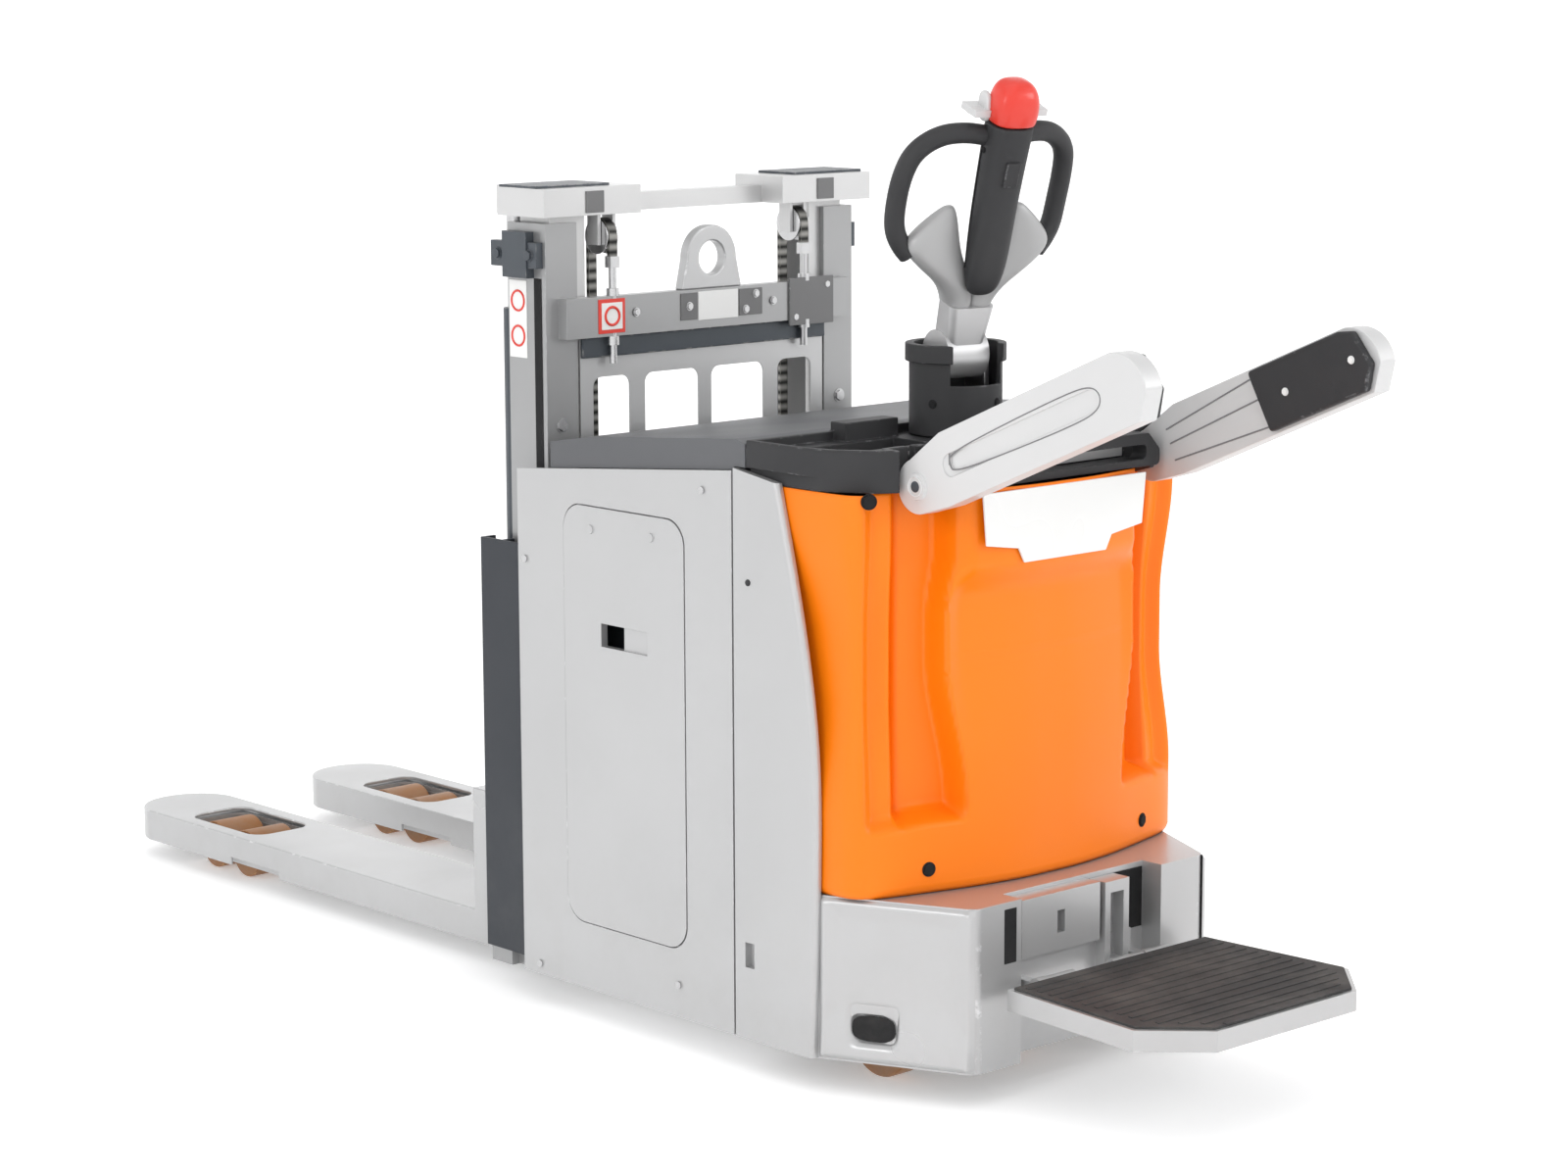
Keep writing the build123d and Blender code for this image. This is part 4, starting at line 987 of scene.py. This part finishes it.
@dataclass
class Tiller(SubAssembly):
    """The steering head, tiller and its controls. Outlines run along the tiller, in millimetres."""

    body: str = "tiller"
    wing_y: float = 6
    wing: tuple[tuple[float, ...], ...] = (     # along, inner edge, outer edge, half depth
        (60, -4, 31, 25), (86, -4, 38, 26), (112, -2, 54, 26), (136, 10, 88, 26), (160, 24, 117, 24),
        (181, 32, 127, 21), (200, 38, 112, 18), (218, 44, 93, 14), (232, 50, 76, 9), (239, 55, 66, 4))
    head: tuple[tuple[float, ...], ...] = (     # along, half width, middle, half depth
        (107, 9, -25, 5), (112, 21, -27, 10), (126, 28, -28, 15), (150, 32, -27, 19), (185, 33, -24, 23),
        (225, 33, -20, 26), (270, 33, -17, 28), (320, 34, -15, 29), (360, 35, -14, 30), (373, 35, -14, 30),
        (374, 33, -14, 28))
    seam: tuple[Point, ...] = (     # along, out, middle
        (150, 31.4, -21), (225, 32.6, -12), (300, 33.4, -7), (368, 34.4, -5))
    grip: tuple[Point, ...] = (     # out, middle, along
        (22, -4, 350), (62, 4, 354), (100, 13, 346), (132, 21, 318), (141, 26, 276), (141, 26, 226),
        (138, 22, 196), (126, 17, 174), (112, 12, 160))
    grip_radius: float = 0.0152
    button: tuple[tuple[float, ...], ...] = (   # along, half width, middle, half depth
        (375, 32, -15, 27), (376.5, 35, -15, 30), (394, 37, -15, 31), (412, 36, -14, 30),
        (427, 31, -12, 26), (436, 23, -10, 19), (440, 11, -9, 9))
    cheek: tuple[Plan, ...] = (     # outwards, share of its full outline
        (-4, 0.96), (-3, 1.0), (2.5, 1.0), (4, 0.9), (4.5, 0.7))
    drum_turns: tuple[float, ...] = (-62, -150, 28, 118)
    drum_radius: float = 0.0697
    drum_z: float = 985

    def build(self) -> None:
        """Make the head, the tiller and the controls."""
        self.soften("steering_hood", DARK, 0.003, 3, body="tiller_head")
        self.soften("steering_column", STEEL, 0.001, body="tiller_head")
        self.soften("tiller_arm", ALLOY, 0.003, 3)
        self.wings()
        self.spine()
        self.grips()
        self.cap()
        self.soften("travel_switch", LIGHT, 0.002, 3, body="travel_switch")
        self.soften("lift_switch", DARK, 0.002, 3, body="lift_switch")
        self.drum()

    @staticmethod
    def ring(s: float, x0: float, x1: float, y: float, deep: float, square: float = 2.6) -> Ring:
        """A loft ring across the tiller.

        Args:
            s: how far along the tiller it is, in millimetres.
            x0: its left side.
            x1: its right side.
            y: its middle, front to back.
            deep: its half depth.
            square: 2 for an ellipse, more for squarer corners.

        Returns:
            The ring's middle, half width, half depth and squareness.
        """
        middle = on_tiller((x0 + x1) / 2, y, s)
        wide = on_tiller(x1, y, s) - middle
        return middle, wide, on_tiller((x0 + x1) / 2, y + deep, s) - middle, square

    def wings(self) -> None:
        """The light lobes either side of the head, one soft loft on each side."""
        for side, label in ((1, "right"), (-1, "left")):
            rings = [self.ring(s, side * x0, side * x1, self.wing_y, deep) for s, x0, x1, deep in self.wing]
            # the wings wear the darkened light plastic: painted shade
            made = self.blob(f"wing_{label}", self.body, WING_SHADED, rings)
            if side > 0:
                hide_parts("tiller_wings")

    def spine(self) -> None:
        """The dark curved spine with its rounded foot, a side seam and a screw."""
        rings = [self.ring(s, -half, half, y, deep, 2.8) for s, half, y, deep in self.head]
        made = self.blob("head_spine", self.body, DARK, rings, 20)
        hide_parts("tiller_spine")
        seam = Shape()
        for side in (-1, 1):
            seam.tube(corners_cut([on_tiller(side * half, y, s) for s, half, y in self.seam], 2), 0.0009, 8)
            seat = on_tiller(side * 33.2, -12, 332)
            seam.bolt(seat, on_tiller(side * 34.2, -12, 332) - seat, 0.0045, 0.002)
        seam.piece("spine_seams", self.body, BLACK_AND_SHADE)

    def grips(self) -> None:
        """Both grip loops, as smooth bars of one gauge."""
        shape = Shape()
        for side in (-1, 1):
            corners = [on_tiller(side * x, y, s) for x, y, s in self.grip]
            shape.tube(corners_cut(corners), self.grip_radius, 22)
        made = shape.piece("grip_loops", self.body, DARK, 80)
        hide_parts("tiller_grips")

    def cap(self) -> None:
        """The red domed button and the light cheeks beside it."""
        rings = [self.ring(s, -half, half, y, deep, 2.9) for s, half, y, deep in self.button]
        made = self.blob("domed_button", "belly_button", RED, rings, 20)
        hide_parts("belly_button")
        for side, label in ((1, "right"), (-1, "left")):
            middle = on_tiller(side * 37, 4, 394)
            deep, tall = on_tiller(side * 37, 18, 394) - middle, on_tiller(side * 37, 8, 416) - middle
            out = (on_tiller(side * 38, 4, 394) - middle) * PER_METRE
            rings = [(middle + out * (d / PER_METRE), deep * k, tall * k, 2.4) for d, k in self.cheek]
            self.blob(f"switch_cheek_{label}", "travel_switch", LIGHT, rings)

    def drum(self) -> None:
        """Screws on the drum round the tiller's foot."""
        shape = Shape()
        for turn in self.drum_turns:
            way = Vector((sin(radians(turn) + YAW), -cos(radians(turn) + YAW), 0))
            shape.bolt(at(0, TILLER_Y, self.drum_z) + way * self.drum_radius, way, 0.0055, 0.0022)
        shape.piece("drum_screws", "tiller_head", BLACK_AND_SHADE)


@dataclass
class Platform(SubAssembly):
    """The fold-down standing platform."""

    body: str = "platform"
    hem: float = 0.030              # how far under its top the tray's corners are rounded
    nose_reach: float = 0.33        # how far back from its front edge

    def build(self) -> None:
        """Make the tread and its mat."""
        shape = Shape.of_node("platform_tread")
        low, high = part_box("platform_tread")
        top, back = high.z - self.hem, low.y + self.nose_reach
        shape.round_edges(0.016, 6, 30, lambda p: p.z < top and p.y < back)
        made = shape.round_edges(0.002, 3).piece("step_tray", self.body, SILVER)
        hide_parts("platform_tread")
        self.soften("platform_mat", RUBBER, 0.0008)


@dataclass
class BatterySection(SubAssembly):
    """The battery box with its hood and service doors."""

    body: str = "load_frame"

    def build(self) -> None:
        """Make the box, the hood and the doors."""
        self.soften("battery_box", SILVER, 0.0012)
        self.soften("battery", CASE, 0.002)
        self.soften("panel_screws", STEEL, 0.0006)
        # the lid wears the lightened hood plastic: painted sheen
        self.soften("battery_hood", LID_SHEEN, 0.004, 3, body="battery_hood")
        for side in ("left", "right"):
            self.soften(f"side_door_{side}", SILVER, 0.0012, body=f"side_door_{side}")


@dataclass
class Mast(SubAssembly):
    """Outer and inner mast, cylinders, chains and guard. Sizes in millimetres from the seam."""

    body: str = "load_frame"
    beam_plates: tuple[tuple[str, Span, Finish, float], ...] = (
        ("guard_beam", ((-258, 465, 1022), (258, 471.5, 1054)), DARK_PAINT, 0.002),
        ("beam_plate_white", ((-31, 450.6, 1068), (54, 452.2, 1114)), SIGN, 0.0008),
        ("beam_plate_left", ((-68, 450.2, 1070), (-33, 452.2, 1113)), PLATE, 0.0008),
        ("beam_plate_right", ((56, 450.2, 1070), (106, 452.2, 1113)), PLATE, 0.0008),
        ("beam_cover_plate", ((164, 448, 1046), (262, 452.5, 1124)), PLATE, 0.0015),
        ("beam_patch_red", ((-237, 450.6, 1060), (-183, 452.2, 1114)), RED, 0.0008),
        ("beam_patch_white", ((-231, 449.8, 1066), (-189, 451.2, 1108)), SIGN, 0.0008))
    beam_ring: Point = (-210, 449.8, 1087)
    beam_bolts: tuple[Plan, ...] = ((-50, 1092), (70, 1080), (92, 1104), (178, 1060), (248, 1110),
                                    (-160, 1090), (130, 1090))
    mast_slot_shade: Span = ((324.6, 482, 240), (326.2, 500, 1150))     # spans are the right side's
    mast_strip: Span = ((324.6, 519, 1024), (326.2, 562, 1145))
    mark_heights: Plan = (1058, 1113)
    clamp: Span = ((324.6, 478, 1166), (338, 592, 1206))
    clamp_ridge: Span = ((324.6, 500, 1150), (341, 560, 1222))
    clamp_bolts: Plan = (496, 574)
    crosshead_cap: Span = ((196, 470, 1289.5), (345, 560, 1294))
    chain_bracket: Span = ((226, 446.5, 1250), (262, 449.5, 1284))

    def build(self) -> None:
        """Make the mast's pieces."""
        # the outer mast wears the darkened grey: painted shade
        self.soften("outer_mast", MAST_SHADED, 0.0015)
        self.soften("lifting_eye", SILVER, 0.003, 3)
        self.soften("mast_guard", SILVER, 0.0006)
        self.beam_fittings()
        for side, label in ((1, "right"), (-1, "left")):
            self.side_fittings(side, label)
        self.soften("mast_apron", HOOD, 0.0012)
        self.soften("lift_cylinders", DARK_PAINT, 0.001)
        self.soften("chain_anchors", STEEL, 0.001)
        # the inner mast wears the lightened grey: painted highlight
        self.soften("inner_mast", CROSSHEAD_LIT, 0.003, 3, body="inner_mast")
        self.soften("piston_rods", STEEL, 0.0008, body="inner_mast")
        self.soften("chain_sheaves", STEEL, 0.0008, body="chain_sheaves")
        self.soften("lift_chains", CHAIN, 0.0005, body="inner_mast")

    def beam_fittings(self) -> None:
        """The lower beam, and the plates, ring and bolts on the upper one."""
        for name, span, finish, width in self.beam_plates:
            self.slab(name, span, finish, width)
        Shape().ring(at(*self.beam_ring), FORWARD, 0.014, 0.0022).piece("beam_patch_ring", self.body, RED)
        bolts = Shape()
        for x, z in self.beam_bolts:
            bolts.bolt(at(x, 450.4, z), FORWARD, 0.0055, 0.0035)
        for x in (-296, 296):
            bolts.bolt(at(x, 471.8, 920), FORWARD, 0.009, 0.004)
        bolts.piece("mast_bolts", self.body, STEEL)

    def side_fittings(self, side: int, label: str) -> None:
        """The slot's painted shade, the strip, marks and clamp on one mast channel, and its end of the
        crosshead.

        Args:
            side: -1 for the left channel, 1 for the right.
            label: the side's name.
        """
        out = Vector((side, 0, 0))
        # a near-black sheet along the slot: painted shade
        self.slab(f"mast_slot_shade_{label}", self.mast_slot_shade, BLACK_AND_SHADE, 0.0004, side=side)
        self.slab(f"mast_strip_{label}", self.mast_strip, SIGN, 0.0004, side=side)
        marks = Shape()
        for z in self.mark_heights:
            marks.ring(at(side * self.mast_strip[1][0], 540, z), out, 0.0155, 0.0019)
        marks.piece(f"mast_marks_{label}", self.body, RED)
        clamp = Shape().box(*self.corners(self.clamp, side)).box(*self.corners(self.clamp_ridge, side))
        for y in self.clamp_bolts:
            clamp.bolt(at(side * self.clamp[1][0], y, 1186), out, 0.008, 0.005)
        clamp.round_edges(0.002).piece(f"cylinder_clamp_{label}", self.body, DARK_PAINT)
        self.slab(f"crosshead_cap_{label}", self.crosshead_cap, DARK_PAINT, 0.0012, "inner_mast", side)
        self.slab(f"chain_bracket_{label}", self.chain_bracket, PLATE, 0.001, "inner_mast", side)


@dataclass
class LoadGear(SubAssembly):
    """Carriage, forks, support arms and load wheels."""

    body: str = "fork_carriage"

    def build(self) -> None:
        """Make the carriage, the forks and what runs under them."""
        self.soften("fork_carriage", DARK_PAINT, 0.0015)
        self.soften("support_arms", SILVER, 0.0012, body="load_frame")
        self.soften("wheel_levers", DARK_PAINT, 0.0008, body="wheel_levers")
        for side in ("left", "right"):
            self.soften(f"fork_{side}", SILVER, 0.0025, 3)
            self.soften(f"bogie_{side}", STEEL, 0.0008, body=f"bogie_{side}")
            for place in ("front", "rear"):
                name = f"roller_{place}_{side}"
                self.soften(name, TREAD, 0.002, body=name)


# ---- studio ------------------------------------------------------------------


@dataclass
class Studio:
    """Pale floor, soft light and the camera, in metres."""

    azimuth: float = radians(-42.24)
    elevation: float = radians(9.63)
    distance: float = 5.861
    aim: Point = (0.0079, -0.2273, 0.6492)
    lens: float = 84.47
    roll: float = -0.0037
    floor_half: float = 32.0
    floor_steps: int = 120
    flat_reach: float = 16.0        # the floor is flat this far out
    bowl_radius: float = 6.0        # and then curves up
    floor_glow: float = 0.30
    room_light: float = 0.73
    panels: tuple[tuple[str, Point, Point, float, float], ...] = (      # name, place, aim, side, watts
        ("top_panel", (-1.0, -1.5, 4.2), (0, -0.2, 0.5), 4.0, 34),
        ("left_panel", (-5.0, -1.6, 2.6), (0, 0, 0.7), 1.6, 30),
        ("front_panel", (3.2, -5.2, 2.8), (0, -0.4, 0.7), 1.8, 52))

    def build(self) -> None:
        """Set the stage."""
        self.floor()
        self.lights()
        self.camera()

    def floor(self) -> None:
        """A wide pale floor that curves up all round into a backdrop."""
        bm = bmesh.new()
        steps = self.floor_steps
        bmesh.ops.create_grid(bm, x_segments=steps, y_segments=steps, size=self.floor_half)
        start, radius = self.flat_reach, self.bowl_radius
        for v in bm.verts:
            reach = hypot(v.co.x, v.co.y)
            past = reach - start
            if past > 0:
                angle = min(pi / 2, past / radius)
                v.co.z = radius * (1 - cos(angle)) + max(0.0, past - radius * pi / 2)
                v.co.xy = v.co.xy * ((start + radius * sin(angle)) / reach)
        mesh = bpy.data.meshes.new("floor")
        bm.to_mesh(mesh)
        bm.free()
        mesh.materials.append(self.floor_finish())
        mesh.shade_smooth()
        floor = bpy.data.objects.new("floor", mesh)
        floor.location.z = -0.0005
        bpy.context.scene.collection.objects.link(floor)

    def floor_finish(self) -> bpy.types.Material:
        """The floor's pale material, with a little light of its own.

        Returns:
            The new material.
        """
        made = bpy.data.materials.new("pale_floor")
        made.use_nodes = True
        tree = made.node_tree
        place = add_node(tree, "TexCoord", {}).outputs["Object"]
        noise = add_node(tree, "TexNoise", {"Vector": place, "Scale": 2.0})
        feed(tree, tree.nodes["Principled BSDF"], {
            "Base Color": mixed(tree, noise.outputs["Fac"], (0.97, 0.97, 0.97), (0.94, 0.94, 0.945)),
            "Roughness": 0.85, "Emission Color": (1.0, 1.0, 1.0, 1.0), "Emission Strength": self.floor_glow})
        return made

    def lights(self) -> None:
        """A bright white room and the soft panels."""
        world = bpy.data.worlds.new("studio")
        world.use_nodes = True
        feed(world.node_tree, world.node_tree.nodes["Background"],
             {"Color": (1.0, 1.0, 1.0, 1.0), "Strength": self.room_light})
        bpy.context.scene.world = world
        for panel in self.panels:
            self.panel(*panel)

    def panel(self, name: str, place: Point, aim: Point, size: float, power: float) -> None:
        """One square area light aimed at a point.

        Args:
            name: the light's name.
            place: where it hangs.
            aim: where it points.
            size: its side.
            power: its power in watts.
        """
        light = bpy.data.lights.new(name, "AREA")
        light.size = size
        light.energy = power
        made = bpy.data.objects.new(name, light)
        made.location = place
        made.rotation_euler = (Vector(aim) - Vector(place)).to_track_quat("-Z", "Y").to_euler()
        bpy.context.scene.collection.objects.link(made)

    def camera(self) -> None:
        """The camera, at its bearing, height and distance from the aim."""
        lens = bpy.data.cameras.new("view")
        lens.lens = self.lens
        lens.sensor_width = 36.0
        flat = cos(self.elevation)
        way = Vector((sin(self.azimuth) * flat, -cos(self.azimuth) * flat, sin(self.elevation)))
        made = bpy.data.objects.new("view", lens)
        place = Matrix.Translation(Vector(self.aim) + way * self.distance)
        turn = way.to_track_quat("Z", "Y").to_matrix().to_4x4()
        made.matrix_world = place @ turn @ Matrix.Rotation(self.roll, 4, "Z")
        bpy.context.scene.collection.objects.link(made)
        bpy.context.scene.camera = made


def main() -> None:
    """Build every sub-assembly in order, then the studio, and note the sizes."""
    for part in (DriveSection(), Console(), GuardArms(), Tiller(), Platform(), BatterySection(), Mast(),
                 LoadGear()):
        log.info("building %s", type(part).__name__)
        part.build()
    Studio().build()
    bpy.context.scene.view_settings.view_transform = "Standard"


if __name__ == "__main__":
    logging.basicConfig(level=logging.INFO)
    main()
